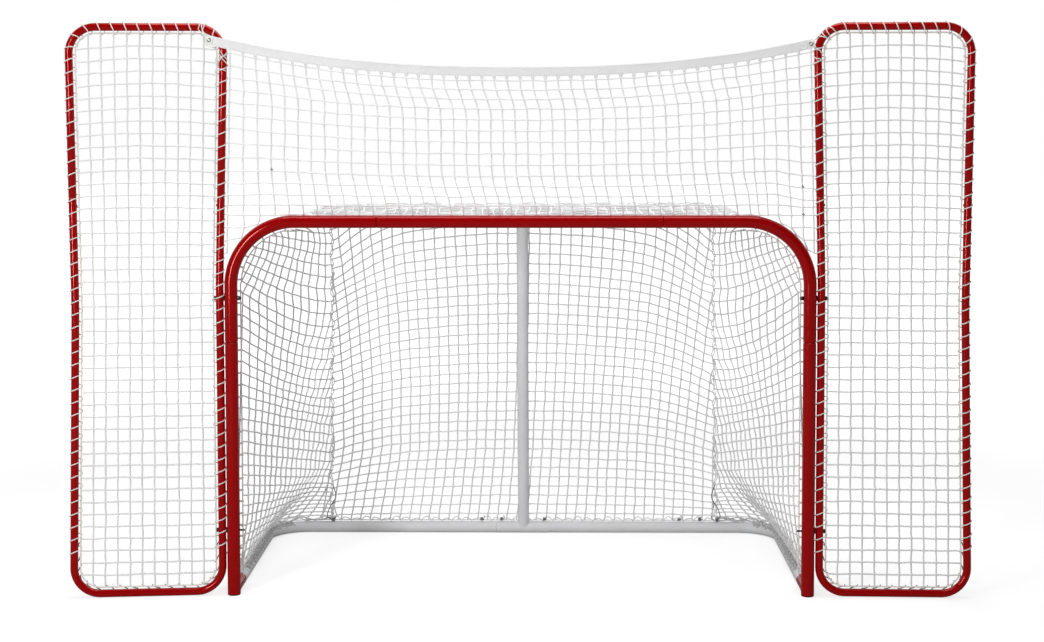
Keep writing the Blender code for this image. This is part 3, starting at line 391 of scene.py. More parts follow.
def addPiece(name, mesh, finish, node=None, sharp=35):
    # a finished piece, moved from the mouth's place to the row frame
    mesh.name = name
    mesh.transform(Matrix.Translation(mouth))
    for polygon in mesh.polygons:
        polygon.use_smooth = True
    mesh.set_sharp_from_angle(angle=math.radians(sharp))
    mesh.materials.clear()
    mesh.materials.append(finishes[finish])
    piece = bpy.data.objects.new(name, mesh)
    scene.collection.objects.link(piece)
    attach(piece, "root")
    if node:
        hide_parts(node)
    return piece


def layCord(curve, points, closed=False, radii=None):
    spline = curve.splines.new("POLY")
    spline.points.add(len(points) - 1)
    spline.points.foreach_set("co", [value for point in points for value in (*point[:3], 1.0)])
    if radii:
        spline.points.foreach_set("radius", radii)
    spline.use_cyclic_u = closed


def roundMesh(lines, thickness, sides):
    # each line is (points, closed, radii); all come out as round cords or tubes in one mesh
    curve = bpy.data.curves.new("cords", "CURVE")
    curve.dimensions = "3D"
    curve.bevel_depth = thickness / 2
    curve.bevel_resolution = (sides - 4) // 2
    curve.use_fill_caps = True
    for points, closed, radii in lines:
        layCord(curve, points, closed, radii)
    holder = bpy.data.objects.new("cords", curve)
    mesh = bpy.data.meshes.new_from_object(holder)
    bpy.data.objects.remove(holder)
    bpy.data.curves.remove(curve)
    return mesh


def openLine(points, radii=None):
    return (points, False, radii)


# side frames: the legs' places, as the frame's own tubes have them
sideFrame = {
    "innerLeg": 0.9722,     # from the middle to the inner leg's foot
    "tube": 0.0254,
    "cornerRadius": 0.084,
    "foot": 0.0127, "top": 1.8473, "seam": 1.30,
    "innerBend": 1.019, "innerTop": {-1: -0.0217, 1: -0.0202},
    "outerFoot": 0.4787, "outerBend": (0.4599, 0.95), "outerTop": 0.4693,
    "swing": {-1: 5.5, 1: 1.7},     # degrees forward about the inner leg
    "innerRadius": 1.0, "outerRadius": 3.0,
}


def legOut(side, leg, height):
    setup = sideFrame
    if leg == "inner":
        places = ((setup["foot"], 0.0), (setup["innerBend"], 0.0),
                  (setup["top"], setup["innerTop"][side]))
    else:
        out, bend = setup["outerBend"]
        places = ((setup["foot"], setup["outerFoot"]), (bend, out),
                  (setup["top"], setup["outerTop"]))
    return lookUp(height, *zip(*places))


def framePoint(side, out, height, forward=0.0):
    swing = math.radians(sideFrame["swing"][side])
    across = sideFrame["innerLeg"] + out * math.cos(swing) - forward * math.sin(swing)
    return Vector((side * across, -out * math.sin(swing) - forward * math.cos(swing), height))


def legX(side, height):
    return side * (sideFrame["innerLeg"] + legOut(side, "inner", height))


def filletPath(corners, radii, steps=10):
    # straight lengths joined by true arcs
    path = [corners[0]]
    for before, here, after, radius in zip(corners, corners[1:], corners[2:], radii):
        inward, onward = (before - here).normalized(), (after - here).normalized()
        half = inward.angle(onward) / 2
        centre = here + (inward + onward).normalized() * (radius / math.sin(half))
        start = here + inward * (radius / math.tan(half)) - centre
        axis = start.cross(-inward).normalized()
        turn = math.pi - 2 * half
        count = max(2, round(steps * turn / (math.pi / 2)))
        for step in range(count + 1):
            path.append(centre + Matrix.Rotation(turn * step / count, 3, axis) @ start)
    path.append(corners[-1])
    return path


def pathLengths(path):
    lengths = [0.0]
    for before, after in zip(path, path[1:]):
        lengths.append(lengths[-1] + (Vector(after) - Vector(before)).length)
    return lengths


def alongPath(path, lengths, distance):
    return Vector([lookUp(distance, lengths, [point[axis] for point in path])
                   for axis in range(3)])


# nets: a net is laid as rows and columns of twine through its knots
netSetup = {
    "twine": 0.0052, "border": 0.0052, "lace": 0.0036,
    "knotLength": 0.0090, "knotRound": 1.42, "knotEnd": 0.8, "slack": 0.0010,
}
draw = random.Random(11)


def wander(point, amount):
    return Vector(point) + Vector([draw.uniform(-amount, amount) for axis in range(3)])


def twineLine(knots):
    # a little slack halfway between knots
    line = [Vector(knots[0])]
    for before, after in zip(knots, knots[1:]):
        line.append(wander((Vector(before) + Vector(after)) / 2, netSetup["slack"]))
        line.append(Vector(after))
    return openLine(line)


def knotLine(place, toward):
    half = (Vector(toward) - Vector(place)).normalized() * (netSetup["knotLength"] / 2)
    fat, thin = netSetup["knotRound"], netSetup["knotEnd"]
    points = [Vector(place) + half * share for share in (-1.0, -0.45, 0.45, 1.0)]
    return openLine(points, [thin, fat, fat, thin])


def netLines(rows, columns):
    lines = [twineLine(line) for line in rows + columns if len(line) > 1]
    for row in rows:
        for place, toward in zip(row[1:-1], row[2:]):
            lines.append(knotLine(place, toward + Vector((0, 0, 0.02))))
    return lines


def netPiece(name, node, rows, columns, extra=(), finish="netTwine"):
    mesh = roundMesh(netLines(rows, columns) + list(extra), netSetup["twine"], 6)
    return addPiece(name, mesh, finish, node, sharp=75)


# the two side frames' nets
panelNet = {
    "columns": 11, "rows": 45, "inset": 0.0205, "wander": 0.0012,
    "arch": 0.014, "archFrom": 0.95, "archOver": 0.8, "archEnd": 0.05,
}


def panelBorder(side):
    inset, setup = panelNet["inset"], sideFrame
    low, high = setup["foot"] + inset, setup["top"] - inset
    outer, bend = setup["outerBend"]
    corners = [(outer - inset, bend), (setup["outerTop"] - inset, high),
               (setup["innerTop"][side] + inset, high), (inset, setup["innerBend"]),
               (inset, low), (setup["outerFoot"] - inset, low), (outer - inset, bend)]
    corners = [framePoint(side, out, height) for out, height in corners]
    radius = setup["cornerRadius"] - inset
    return filletPath(corners, [radius, radius, setup["innerRadius"], radius, radius])


def panelKnot(side, i, j):
    setup, inset = panelNet, panelNet["inset"]
    low, high = sideFrame["foot"] + inset, sideFrame["top"] - inset
    height = low + (high - low) * j / setup["rows"]
    left = legOut(side, "inner", height) + inset
    right = legOut(side, "outer", height) - inset
    share = i / setup["columns"]
    out = left + (right - left) * share
    grown = smooth((height - setup["archFrom"]) / setup["archOver"])
    fall = setup["arch"] * grown * (2 * share - 1) ** 2
    if 0 < j < setup["rows"]:
        height -= fall * smooth((high - height) / setup["archEnd"])
    # knots beyond the rounded corners go back to the border cord
    radius = sideFrame["cornerRadius"] - inset
    centre = Vector((min(max(out, left + radius), right - radius),
                     min(max(height, low + radius), high - radius)))
    away = Vector((out, height)) - centre
    if away.length > radius:
        away = away.normalized() * radius
    spot = centre + away
    return framePoint(side, spot.x, spot.y)


def panelNetLines(side):
    columns, rows = panelNet["columns"], panelNet["rows"]
    grid = [[panelKnot(side, i, j) for i in range(columns + 1)] for j in range(rows + 1)]
    for line in grid[1:-1]:
        line[1:-1] = [wander(point, panelNet["wander"]) for point in line[1:-1]]
    return grid[1:-1], [[row[i] for row in grid] for i in range(1, columns)]


for label, side in bothSides:
    netPiece(label + "FrameNet", label + "_panel_net", *panelNetLines(side))
    border = roundMesh([openLine(panelBorder(side))], netSetup["border"], 8)
    addPiece(label + "FrameBorder", border, "laceCord")
print("side frame nets made")


# lacing round the side frames: one helix up the outer leg, along the top and down
laceSetup = {"pitch": 0.0408, "uneven": 0.05, "front": 0.42, "start": 0.13, "gap": 0.0018,
             "ring": 0.0036}


def frameAxis(side):
    setup = sideFrame
    outer, bend = setup["outerBend"]
    corners = [(setup["outerFoot"], setup["foot"]), (outer, bend),
               (setup["outerTop"], setup["top"]), (setup["innerTop"][side], setup["top"]),
               (0.0, setup["innerBend"]), (0.0, setup["foot"])]
    corners = [framePoint(side, out, height) for out, height in corners]
    radii = [setup["outerRadius"], setup["cornerRadius"], setup["cornerRadius"],
             setup["innerRadius"]]
    return filletPath(corners, radii)


def lacing(side):
    # seen from the front the left frame is laced clockwise, so both slant the same way
    path = frameAxis(side)
    if side > 0:
        path = path[::-1]
    lengths = pathLengths(path)
    swing = math.radians(sideFrame["swing"][side])
    front = Vector((-side * math.sin(swing), -math.cos(swing), 0))
    tube = sideFrame["tube"] / 2 + laceSetup["gap"]
    eye, ring = panelNet["inset"], laceSetup["ring"]
    # one wrap: from the outside over the front to the border cord and back behind
    lean = math.acos((tube - ring) / eye)
    shape = [(tube * math.cos(angle), tube * math.sin(angle))
             for angle in np.linspace(math.pi, lean, 6)]
    shape += [(eye + ring * math.cos(angle), ring * math.sin(angle))
              for angle in np.linspace(lean, -lean, 4)]
    shape += [(tube * math.cos(angle), tube * math.sin(angle))
              for angle in np.linspace(-lean, -math.pi, 7)[:-1]]
    share = list(np.linspace(0, laceSetup["front"], 8)) + list(
        np.linspace(laceSetup["front"], 1, 9)[1:])
    points = []
    distance, end = laceSetup["start"], lengths[-1] - laceSetup["start"]
    while distance < end:
        pitch = laceSetup["pitch"] * draw.uniform(1 - laceSetup["uneven"], 1 + laceSetup["uneven"])
        for (inward, forward), part in zip(shape, share):
            at = distance + pitch * part
            here = alongPath(path, lengths, at)
            along = (alongPath(path, lengths, at + 0.004) - here).normalized()
            inside = along.cross(front)
            points.append(here + inside * inward + front * forward)
        distance += pitch
    return points


for label, side in bothSides:
    mesh = roundMesh([openLine(lacing(side))], netSetup["lace"], 6)
    addPiece(label + "FrameLacing", mesh, "laceCord")
print("side frames laced")


# strap's line, as the band's own middle line runs
strapSetup = {
    # heights of the line at its ends and middle, and the eyelets' places by side
    "width": 0.030, "thickness": 0.0025, "end": 1.798, "middle": 1.704, "curve": 2.4,
    "eyes": {-1: 0.9942, 1: 0.9312}, "beyond": 0.012,
}


def strapHeight(x):
    setup = strapSetup
    reach = (setup["eyes"][-1] + setup["eyes"][1]) / 2
    return setup["middle"] + (setup["end"] - setup["middle"]) * abs(x / reach) ** setup["curve"]


# the net above the crossbar
spanNet = {
    # rows down to the crossbar, and the rows that go on below it beside the corners
    "columns": 46, "rows": 13, "extraRows": 3, "extraDrop": 0.0405, "low": 1.243,
    "besideLeg": 0.0225, "belowStrap": 0.0295, "wander": 0.0014,
    "cornerCentre": (0.7285, 1.015), "cornerReach": 0.2305,
    # how far a column has shifted to the right at its foot, by its place
    "shiftAt": (-0.95, -0.85, -0.7, -0.5, -0.2, 0.0, 0.3, 0.7, 0.8, 0.9, 0.95),
    "shift": (0.0, 0.028, 0.045, 0.066, 0.066, 0.052, 0.045, 0.045, 0.012, 0.010, 0.0),
    "crowding": 0.02,       # rows lie closer above and below than halfway
    # rows fall near the legs: below by side, and a little above
    "nearLeg": 0.80, "nearOver": 0.15, "fallBelow": {-1: 0.008, 1: 0.025}, "fallAbove": 0.007,
    "loopHalf": 0.004, "loopHigh": 0.020, "tiedTo": 0.72,
}


def spanKnot(i, j):
    setup = spanNet
    share = min(1.0, j / setup["rows"])
    share -= setup["crowding"] * math.sin(2 * math.pi * share)
    across = i / setup["columns"]
    x = (2 * across - 1) * (sideFrame["innerLeg"] - setup["besideLeg"])
    grown = 0.45 * smooth(share / 0.25) + 0.1 * share + 0.45 * smooth((share - 0.65) / 0.35)
    x += lookUp(x, setup["shiftAt"], setup["shift"]) * grown
    top = strapHeight(x) - setup["belowStrap"]
    z = top + (setup["low"] - top) * share
    side = 1 if x > 0 else -1
    near = smooth((abs(x) - setup["nearLeg"]) / setup["nearOver"])
    fall = setup["fallBelow"][side] * smooth((share - 0.35) / 0.3) * smooth((1 - share) / 0.15)
    z -= near * (fall + setup["fallAbove"] * smooth((0.5 - share) / 0.2) * smooth(share / 0.1))
    if j > setup["rows"]:
        z -= (j - setup["rows"]) * setup["extraDrop"]
    edge = abs(legX(side, z)) - setup["besideLeg"]
    x *= edge / (sideFrame["innerLeg"] - setup["besideLeg"])
    return Vector((x, 0.0, z))


def spanGrid():
    setup = spanNet
    centreX, centreZ = setup["cornerCentre"]
    grid = {}
    for j in range(setup["rows"] + setup["extraRows"] + 1):
        for i in range(setup["columns"] + 1):
            point = spanKnot(i, j)
            if 0 < i < setup["columns"]:
                point = wander(point, setup["wander"])
            side = 1 if point.x > 0 else -1
            away = Vector((abs(point.x) - centreX, point.z - centreZ))
            if j >= setup["rows"] and abs(point.x) < centreX:
                if j > setup["rows"]:
                    continue
                point.y = 0.012
            elif away.x > 0 and away.length < setup["cornerReach"]:
                if setup["cornerReach"] - away.length > 0.026:
                    continue
                away = away.normalized() * setup["cornerReach"]
                point = Vector((side * (centreX + away.x), 0.004, centreZ + away.y))
            grid[i, j] = point
    return grid


def gridLines(grid, columns, rows):
    # rows and columns, broken where the grid has no knot
    lines = []
    for outer, inner, pick in ((rows, columns, lambda a, b: (b, a)),
                               (columns, rows, lambda a, b: (a, b))):
        found = []
        for a in range(outer + 1):
            line = []
            for b in range(inner + 1):
                if pick(a, b) in grid:
                    line.append(grid[pick(a, b)])
                elif line:
                    found.append(line)
                    line = []
            found.append(line)
        lines.append([line for line in found if len(line) > 1])
    return lines


grid = spanGrid()
rows, columns = gridLines(grid, spanNet["columns"], spanNet["rows"] + spanNet["extraRows"])
extra = []
for i in range(1, spanNet["columns"]):          # small loops up behind the strap
    knot = grid[i, 0]
    half, high = spanNet["loopHalf"], spanNet["loopHigh"]
    extra.append(openLine([knot, knot + Vector((-half, 0.001, 0.6 * high)),
                           knot + Vector((0.0, 0.002, high)),
                           knot + Vector((half, 0.001, 0.6 * high)), knot]))
    foot = grid.get((i, spanNet["rows"]))
    if foot and abs(foot.x) < spanNet["tiedTo"]:    # and down behind the crossbar to its rail
        extra.append(openLine([foot, Vector((foot.x, 0.026, 1.234)),
                               Vector((foot.x, 0.033, 1.222))]))
netPiece("spanNet", "span_net", rows, columns, extra, finish="spanTwine")
print("span net made")


# the goal's own net: two sides, the back and the top
goalNet = {
    "postEdge": (0.9100, 0.033), "cornerCentre": (0.7285, 1.015), "cornerReach": 0.179,
    "hem": 0.046, "arm": 1.204, "armX": 0.7215, "armFrom": 0.05,
    "shelfBend": (0.58, 0.44), "shelfReach": 0.1425, "ridgeAngle": 49.0,
    "baseX": 0.9355, "baseBend": (0.7955, 0.72), "baseReach": 0.14,
    "ridgeFoot": (0.72, 0.862),
    # side net: columns between post and ridge, by height
    "countAt": (0.04, 0.27, 0.48, 0.66, 0.85, 1.22),
    "count": (20.0, 18.0, 16.0, 13.3, 11.0, 11.0),
    # how far a row has fallen at the ridge, by its height at the post
    "fallAt": (0.045, 0.10, 0.17, 0.25, 0.318, 0.354, 0.423, 0.55, 0.736, 0.85, 0.98, 1.09,
               1.18, 1.4),
    "fall": (0.0, 0.03, 0.07, 0.112, 0.147, 0.165, 0.177, 0.188, 0.197, 0.20, 0.195, 0.168,
             0.155, 0.15),
    "leanFrom": 0.97, "leanOver": 0.21, "lean": 0.36,  # columns lean in below the corner
    "firstRow": 1.183, "rowStep": 0.038, "lowStep": 0.034, "lowFrom": 0.43,
    # back net: columns draw together and drift to the left going down
    "backStep": 0.0376, "backMiddle": -0.0132,
    "drawAt": (0.05, 0.131, 0.332, 0.60, 0.90, 1.118),
    "draw": (0.97, 0.957, 0.925, 0.933, 0.963, 1.0),
    "driftAt": (0.05, 0.131, 0.332, 0.60, 0.90, 1.118),
    "drift": (-0.05, -0.040, -0.0225, -0.010, -0.003, 0.0),
    "backTop": 1.2144, "backRow": 0.0368,
    "sagAt": (0.05, 0.13, 0.33, 0.60, 0.90, 1.0), "sag": (0.0, 0.15, 0.40, 0.60, 0.80, 1.0),
    "wander": 0.0014,
    # below and above these heights the side net goes over to the base's and the shelf's line
    "nearBase": 0.30, "baseOver": 0.254, "basePower": 1.6,
    "nearArm": 1.172, "armOver": 0.032, "armAcross": 0.35,
    # how far knots keep from the ridge, the arm and the front edge, and rows from the arm
    "sideMost": 0.985, "clearArm": 0.006, "clearFront": 0.022, "rowClear": 0.014, "armMost": 0.97,
    "beyondPost": 5,        # columns that start beyond the post's line, on the corner
    "backReach": 22, "aboveShelf": 5, "backPull": 0.012,
    "sagAll": 0.2, "sagSides": 1.2, "sagFrom": 0.40,
    "clearEdge": 0.008, "clearShelf": 0.012,
    "endDrop": 0.010, "nearRidge": 0.07, "endAcross": 0.02,
    # the ridge is pulled in and forward halfway, and its two cords wind round each other
    "pullIn": 0.006, "pullForward": 0.014, "ridgeTwist": 0.074, "ridgeApart": 0.0042,
    "ridgeCord": 0.0036,
    # ties between the post's net rail and the net's edge
    "tieFrom": 0.052, "tiePitch": 0.0385, "tieReach": 0.0245, "edgeCord": 0.8,
}


def sideFront(height):
    x, y = goalNet["postEdge"]
    centreX, centreZ = goalNet["cornerCentre"]
    rise = max(0.0, height - centreZ)
    if rise > 0:
        reach = goalNet["cornerReach"]
        x = centreX + math.sqrt(max(0.0, reach * reach - rise * rise))
    return Vector((x, y, height))


def ridgePoint(height):
    angle = math.radians(goalNet["ridgeAngle"])
    centreX, centreY = goalNet["shelfBend"]
    reach = goalNet["shelfReach"]
    topX, topY = centreX + reach * math.cos(angle), centreY + reach * math.sin(angle)
    footX, footY = goalNet["ridgeFoot"]
    share = (height - goalNet["hem"]) / (goalNet["arm"] - goalNet["hem"])
    pull = math.sin(math.pi * min(1.0, max(0.0, share)))
    wave = 0.003 * math.sin(height * 61) + 0.002 * math.sin(height * 143 + 1)
    return Vector((footX + (topX - footX) * share - goalNet["pullIn"] * pull + wave,
                   footY + (topY - footY) * share - goalNet["pullForward"] * pull, height))


def baseEdge():
    setup = goalNet
    bendX, bendY = setup["baseBend"]
    path = [Vector((setup["baseX"], y, setup["hem"])) for y in np.linspace(0.035, bendY, 12)]
    for angle in np.linspace(0, math.pi / 2, 8)[1:]:
        path.append(Vector((bendX + setup["baseReach"] * math.cos(angle),
                            bendY + setup["baseReach"] * math.sin(angle), setup["hem"])))
    path.append(Vector((*setup["ridgeFoot"], setup["hem"])))
    return path


def armEdge():
    setup = goalNet
    bendX, bendY = setup["shelfBend"]
    path = [Vector((setup["armX"], y, setup["arm"]))
            for y in np.linspace(setup["armFrom"], bendY, 8)]
    for angle in np.linspace(0, math.radians(setup["ridgeAngle"]), 6)[1:]:
        path.append(Vector((bendX + setup["shelfReach"] * math.cos(angle),
                            bendY + setup["shelfReach"] * math.sin(angle), setup["arm"])))
    return path


baseLine, armLine = baseEdge(), armEdge()
baseLengths, armLengths = pathLengths(baseLine), pathLengths(armLine)


def frontShare(height):
    # how far across the side net the corner tube's arc cuts it off
    start, edge, end = goalNet["postEdge"][0], sideFront(height).x, ridgePoint(height).x
    return (start - edge) / (start - end)


def sidePoint(share, height):
    # across the side net from the post's line to the ridge, at one height
    x0, y0 = goalNet["postEdge"]
    end, cut = ridgePoint(height), frontShare(height)
    inner = min(1.0, max(0.0, (share - cut) / (1 - cut)))
    point = Vector((x0 + (end.x - x0) * share, y0 + (end.y - y0) * inner, height))
    setup = goalNet
    low = max(0.0, (setup["nearBase"] - height) / setup["baseOver"]) ** setup["basePower"]
    high = smooth((height - setup["nearArm"]) / setup["armOver"])
    high *= smooth(inner / setup["armAcross"])
    if low > 0:
        base = alongPath(baseLine, baseLengths, baseLengths[-1] * share)
        point = point.lerp(base, min(1.0, low))
    if high > 0:
        arm = alongPath(armLine, armLengths, armLengths[-1] * inner)
        point = point.lerp(arm, min(1.0, high))
    point.z = height
    return point


def sideRows():
    heights = [goalNet["firstRow"] + goalNet["rowStep"] * step for step in (5, 4, 3, 2, 1)]
    height = goalNet["firstRow"]
    while height > goalNet["hem"] + 0.012:
        heights.append(height)
        height -= goalNet["rowStep"] if height > goalNet["lowFrom"] else goalNet["lowStep"]
    return heights


def rowHeight(start, share):
    power = lookUp(start, (0.62, 0.80), (1.0, 1.5))
    fall = lookUp(start, goalNet["fallAt"], goalNet["fall"])
    return start - fall * (1 - (1 - share) ** power)


def columnShare(k, height):
    setup = goalNet
    share = k / lookUp(height, setup["countAt"], setup["count"])
    lean = setup["lean"] * min(1.0, max(0.0, (height - setup["leanFrom"]) / setup["leanOver"]))
    return share + lean * (1 - share)


def crossing(k, start):
    # where column k meets the row that leaves the post's line at this height
    height = start
    for turn in range(16):
        height += 0.7 * (rowHeight(start, min(1.0, max(0.0, columnShare(k, height)))) - height)
    return columnShare(k, height), height


def rowStart(start):
    # where a row meets the front edge
    height = start
    for turn in range(40):
        height += 0.3 * (rowHeight(start, frontShare(height)) - height)
    return height


def edgeHeight(k, height, step):
    # where a column runs off the front edge, up or down from a height
    while goalNet["hem"] < height < goalNet["arm"] and columnShare(k, height) > frontShare(height):
        height += step
    return height


def sideNetLines(side):
    setup = goalNet
    starts, arm = sideRows(), setup["arm"]
    numbers = range(-setup["beyondPost"], round(setup["count"][0]) + 1)
    knots, rows = {}, []
    for r, start in enumerate(starts):
        line = []
        height = rowStart(start)
        if height <= arm - setup["rowClear"]:
            line.append(onSide(side, sidePoint(frontShare(height), height)))
        for k in numbers:
            share, height = crossing(k, start)
            if (share > setup["sideMost"] or height > arm - setup["clearArm"]
                    or share < frontShare(height) + setup["clearFront"]):
                continue
            if not line:                        # the row starts on the shelf's arm
                near = max(frontShare(arm), share - 0.4 / setup["count"][-1])
                line.append(onSide(side, sidePoint(near, arm)))
            knots[k, r] = onSide(side, wander(sidePoint(share, height), setup["wander"]))
            line.append(knots[k, r])
        line.append(onSide(side, ridgePoint(rowHeight(start, 1.0))))
        rows.append(line)
    columns = []
    for k in numbers:
        line = [knots[k, r] for r in range(len(starts)) if (k, r) in knots]
        if not line:
            continue
        top, foot = edgeHeight(k, line[0].z, 0.002), edgeHeight(k, line[-1].z, -0.002)
        if top < arm:
            start = sidePoint(frontShare(top), top)
        elif columnShare(k, arm) < setup["armMost"]:
            start = sidePoint(columnShare(k, arm), arm)
        else:
            height = lookUp(k, setup["count"][::-1], setup["countAt"][::-1])
            start = ridgePoint(max(height, line[0].z))
        if k > 0:
            end = sidePoint(min(1.0, columnShare(k, setup["hem"])), setup["hem"])
        else:
            end = sidePoint(frontShare(foot), foot)
        line = [onSide(side, start), *line, onSide(side, end)]
        columns.append(line)
    return rows, columns


def frontEdge(side):
    straight, bent = np.linspace(goalNet["hem"] + 0.01, 1.0, 50), np.linspace(1.015, 1.1925, 22)
    return [onSide(side, sideFront(height)) for height in (*straight, *bent)]


def ridgeCord(side, turn):
    # one of the two cords that close the corner, winding round each other
    line, apart = [], goalNet["ridgeApart"]
    for height in np.linspace(goalNet["hem"], goalNet["arm"], 150):
        point = ridgePoint(height)
        angle = height * 2 * math.pi / goalNet["ridgeTwist"] + turn
        line.append(Vector((side * (point.x + apart * math.cos(angle)),
                            point.y + apart * math.sin(angle), height)))
    return openLine(line)


def backPoint(x, height):
    bendX, bendY = goalNet["shelfBend"]
    reach = goalNet["shelfReach"]
    over = min(abs(x), bendX + reach * 0.99) - bendX
    top = bendY + (math.sqrt(reach * reach - over * over) if over > 0 else reach)
    share = (height - goalNet["hem"]) / (goalNet["arm"] - goalNet["hem"])
    y = goalNet["ridgeFoot"][1] * (1 - share) + top * share
    pull = goalNet["backPull"] * math.sin(math.pi * min(1.0, max(0.0, share)))
    return Vector((x, y - pull, height))


def backKnot(k, r):
    setup = goalNet
    level = setup["backTop"] - setup["backRow"] * r
    height = level
    for turn in range(6):
        x = (setup["backMiddle"] + setup["backStep"] * k) * lookUp(
            height, setup["drawAt"], setup["draw"])
        x += lookUp(height, setup["driftAt"], setup["drift"])
        sag = setup["sagAll"] * x * x + setup["sagSides"] * max(0.0, abs(x) - setup["sagFrom"]) ** 2
        height = level - sag * lookUp(height, setup["sagAt"], setup["sag"])
    return backPoint(x, height)


def backNetLines():
    setup = goalNet
    reach, above, knots = setup["backReach"], setup["aboveShelf"], {}
    count = int((setup["backTop"] - setup["hem"]) / setup["backRow"]) + 1
    shelf = setup["backTop"] - 0.006
    rows = []
    for r in range(-above, count):
        line = []
        for k in range(-reach, reach + 2):
            point = backKnot(k, r)
            edge = ridgePoint(point.z).x
            between = setup["hem"] + setup["clearEdge"] < point.z < shelf - setup["clearShelf"]
            if between and abs(point.x) < edge - setup["clearEdge"] and k <= reach:
                knots[k, r] = wander(point, setup["wander"])
                line.append(knots[k, r])
            elif line:
                rows.append(rowEnds(line, shelf))
                line = []
    columns = []
    for k in range(-reach, reach + 1):
        line = [knots[k, r] for r in range(-above, count) if (k, r) in knots]
        if not line:
            continue
        top = backKnot(k, 0)
        if abs(top.x) < ridgePoint(shelf).x:
            line.insert(0, Vector((top.x, top.y, shelf)))
        else:
            side = 1 if line[0].x > 0 else -1
            edge = ridgePoint(line[0].z + 0.03)
            line.insert(0, Vector((side * edge.x, edge.y, edge.z)))
        foot = backKnot(k, (setup["backTop"] - setup["hem"]) / setup["backRow"])
        foot.z = setup["hem"]
        line.append(foot)
        columns.append(line)
    return rows, columns


def rowEnds(line, shelf):
    # each end goes on to the corner cord, or up to the shelf where that is nearer
    for end, side in ((0, -1), (-1, 1)):
        tip = line[end]
        edge = ridgePoint(max(goalNet["hem"] + 0.004, tip.z - goalNet["endDrop"]))
        if abs(side * edge.x - tip.x) < goalNet["nearRidge"]:
            point = Vector((side * edge.x, edge.y, edge.z))
        else:
            point = backPoint(tip.x + side * goalNet["endAcross"], shelf)
        line.insert(0 if end == 0 else len(line), point)
    return line


topNet = {
    "front": 0.034, "step": 0.0388, "rows": 14, "low": 1.228, "high": 1.2452, "wander": 0.0016,
    "edge": 0.712, "cornerReach": 0.132, "uneven": 0.004, "hang": 0.004, "reach": 20,
}


def topKnot(k, r):
    setup = topNet
    y = setup["front"] + setup["step"] * r
    x = goalNet["backMiddle"] + goalNet["backStep"] * k + setup["uneven"] * math.sin(
        r * 0.9 + k * 0.35)
    z = setup["low"] + (setup["high"] - setup["low"]) * smooth(y / 0.5)
    middle = 1 - smooth((abs(x) - 0.5) / 0.15)
    hang = setup["hang"] * math.sin(k * 0.8) * math.sin(r * 0.7) * middle
    return Vector((x, y, z + hang))


def topNetLines():
    setup = topNet
    knots, rows = {}, []
    numbers, depths = range(-setup["reach"], setup["reach"] + 1), range(setup["rows"] + 1)
    bendX, bendY = goalNet["shelfBend"]
    for r in depths:
        line = []
        for k in numbers:
            point = topKnot(k, r)
            away = Vector((abs(point.x) - bendX, point.y - bendY))
            inCorner = away.y >= 0 and away.x >= 0
            if away.length < setup["cornerReach"] if inCorner else abs(point.x) < setup["edge"]:
                knots[k, r] = wander(point, setup["wander"])
                line.append(knots[k, r])
        rows.append(line)
    columns = [[knots[k, r] for r in depths if (k, r) in knots] for k in numbers]
    return [line for line in rows if len(line) > 1], [line for line in columns if len(line) > 1]


def postTies(side, edge):
    # loops round the post's net rail and the net's edge cord
    centreX, centreZ = goalNet["cornerCentre"]
    ties, at, lengths = [], goalNet["tieFrom"], pathLengths(edge)
    while at < lengths[-1]:
        knot = alongPath(edge, lengths, at)
        away = Vector((abs(knot.x) - centreX, 0, max(0.0, knot.z - centreZ))).normalized()
        if knot.z < centreZ:
            away = Vector((1, 0, 0))
        away.x *= side
        rail = knot + away * goalNet["tieReach"] + Vector((0, -0.004, draw.uniform(-0.004, 0.004)))
        ties.append(openLine([rail + Vector((0, 0.004, 0)), knot + Vector((0, 0.003, 0.001)),
                              knot - away * 0.003, knot + Vector((0, -0.003, -0.001)),
                              rail + Vector((0, -0.002, 0))]))
        at += goalNet["tiePitch"]
    return ties


for label, side in bothSides:
    rows, columns = sideNetLines(side)
    netPiece(label + "GoalNet", "goal_" + label + "_net", rows, columns, finish="goalTwine")
    edge = frontEdge(side)
    mesh = roundMesh([openLine(edge)] + postTies(side, edge),
                     netSetup["border"] * goalNet["edgeCord"], 6)
    addPiece(label + "PostEdge", mesh, "goalTwine")
    mesh = roundMesh([ridgeCord(side, 0.0), ridgeCord(side, math.pi)], goalNet["ridgeCord"], 6)
    addPiece(label + "RidgeCord", mesh, "goalTwine")
netPiece("backNet", "goal_back_net", *backNetLines(), finish="goalTwine")
# the net on the shelf is drawn in the lighter twine as painted light
netPiece("topNet", "goal_top_net", *topNetLines(), finish="litTwine")
print("goal net made")


# tubes: drawn finer than the checked model, on the same centre lines
tubeSetup = {
    # diameters of the goal's front and rear tubes and tees, and the gap at every seam
    "front": 0.042, "rear": 0.041, "tee": 0.042, "sides": 40, "gap": 0.0003,
    # places of their centre lines, and of the seams beside the front corners
    "postX": 0.9355, "barZ": 1.222, "baseZ": 0.021, "postSeam": 0.83, "barSeam": 0.461,
    # the front corners' radius, and how a tube's end is shaped
    "corner": 0.207, "shoulder": 0.003, "drawn": 0.88, "lip": 0.0007, "postFoot": 0.0033,
    # base and shelf: depth, half width, corner radius and the stubs they start from
    "baseDepth": 0.86, "baseCorner": 0.14, "baseStub": 0.12,
    "shelfDepth": 0.56, "shelfHalf": 0.70, "shelfCorner": 0.12, "shelfStub": 0.075,
    # half a tee's length, then the net rail behind the front tubes, and the weld beads
    "teeHalf": 0.10, "rail": 0.005, "railY": 0.030, "railEnd": 0.015, "railBend": 0.006,
    "railInset": 0.025, "railFoot": 0.062, "stubFrom": 0.004,
    "weld": 0.0042, "weldUneven": 0.16, "branch": 0.97,
}


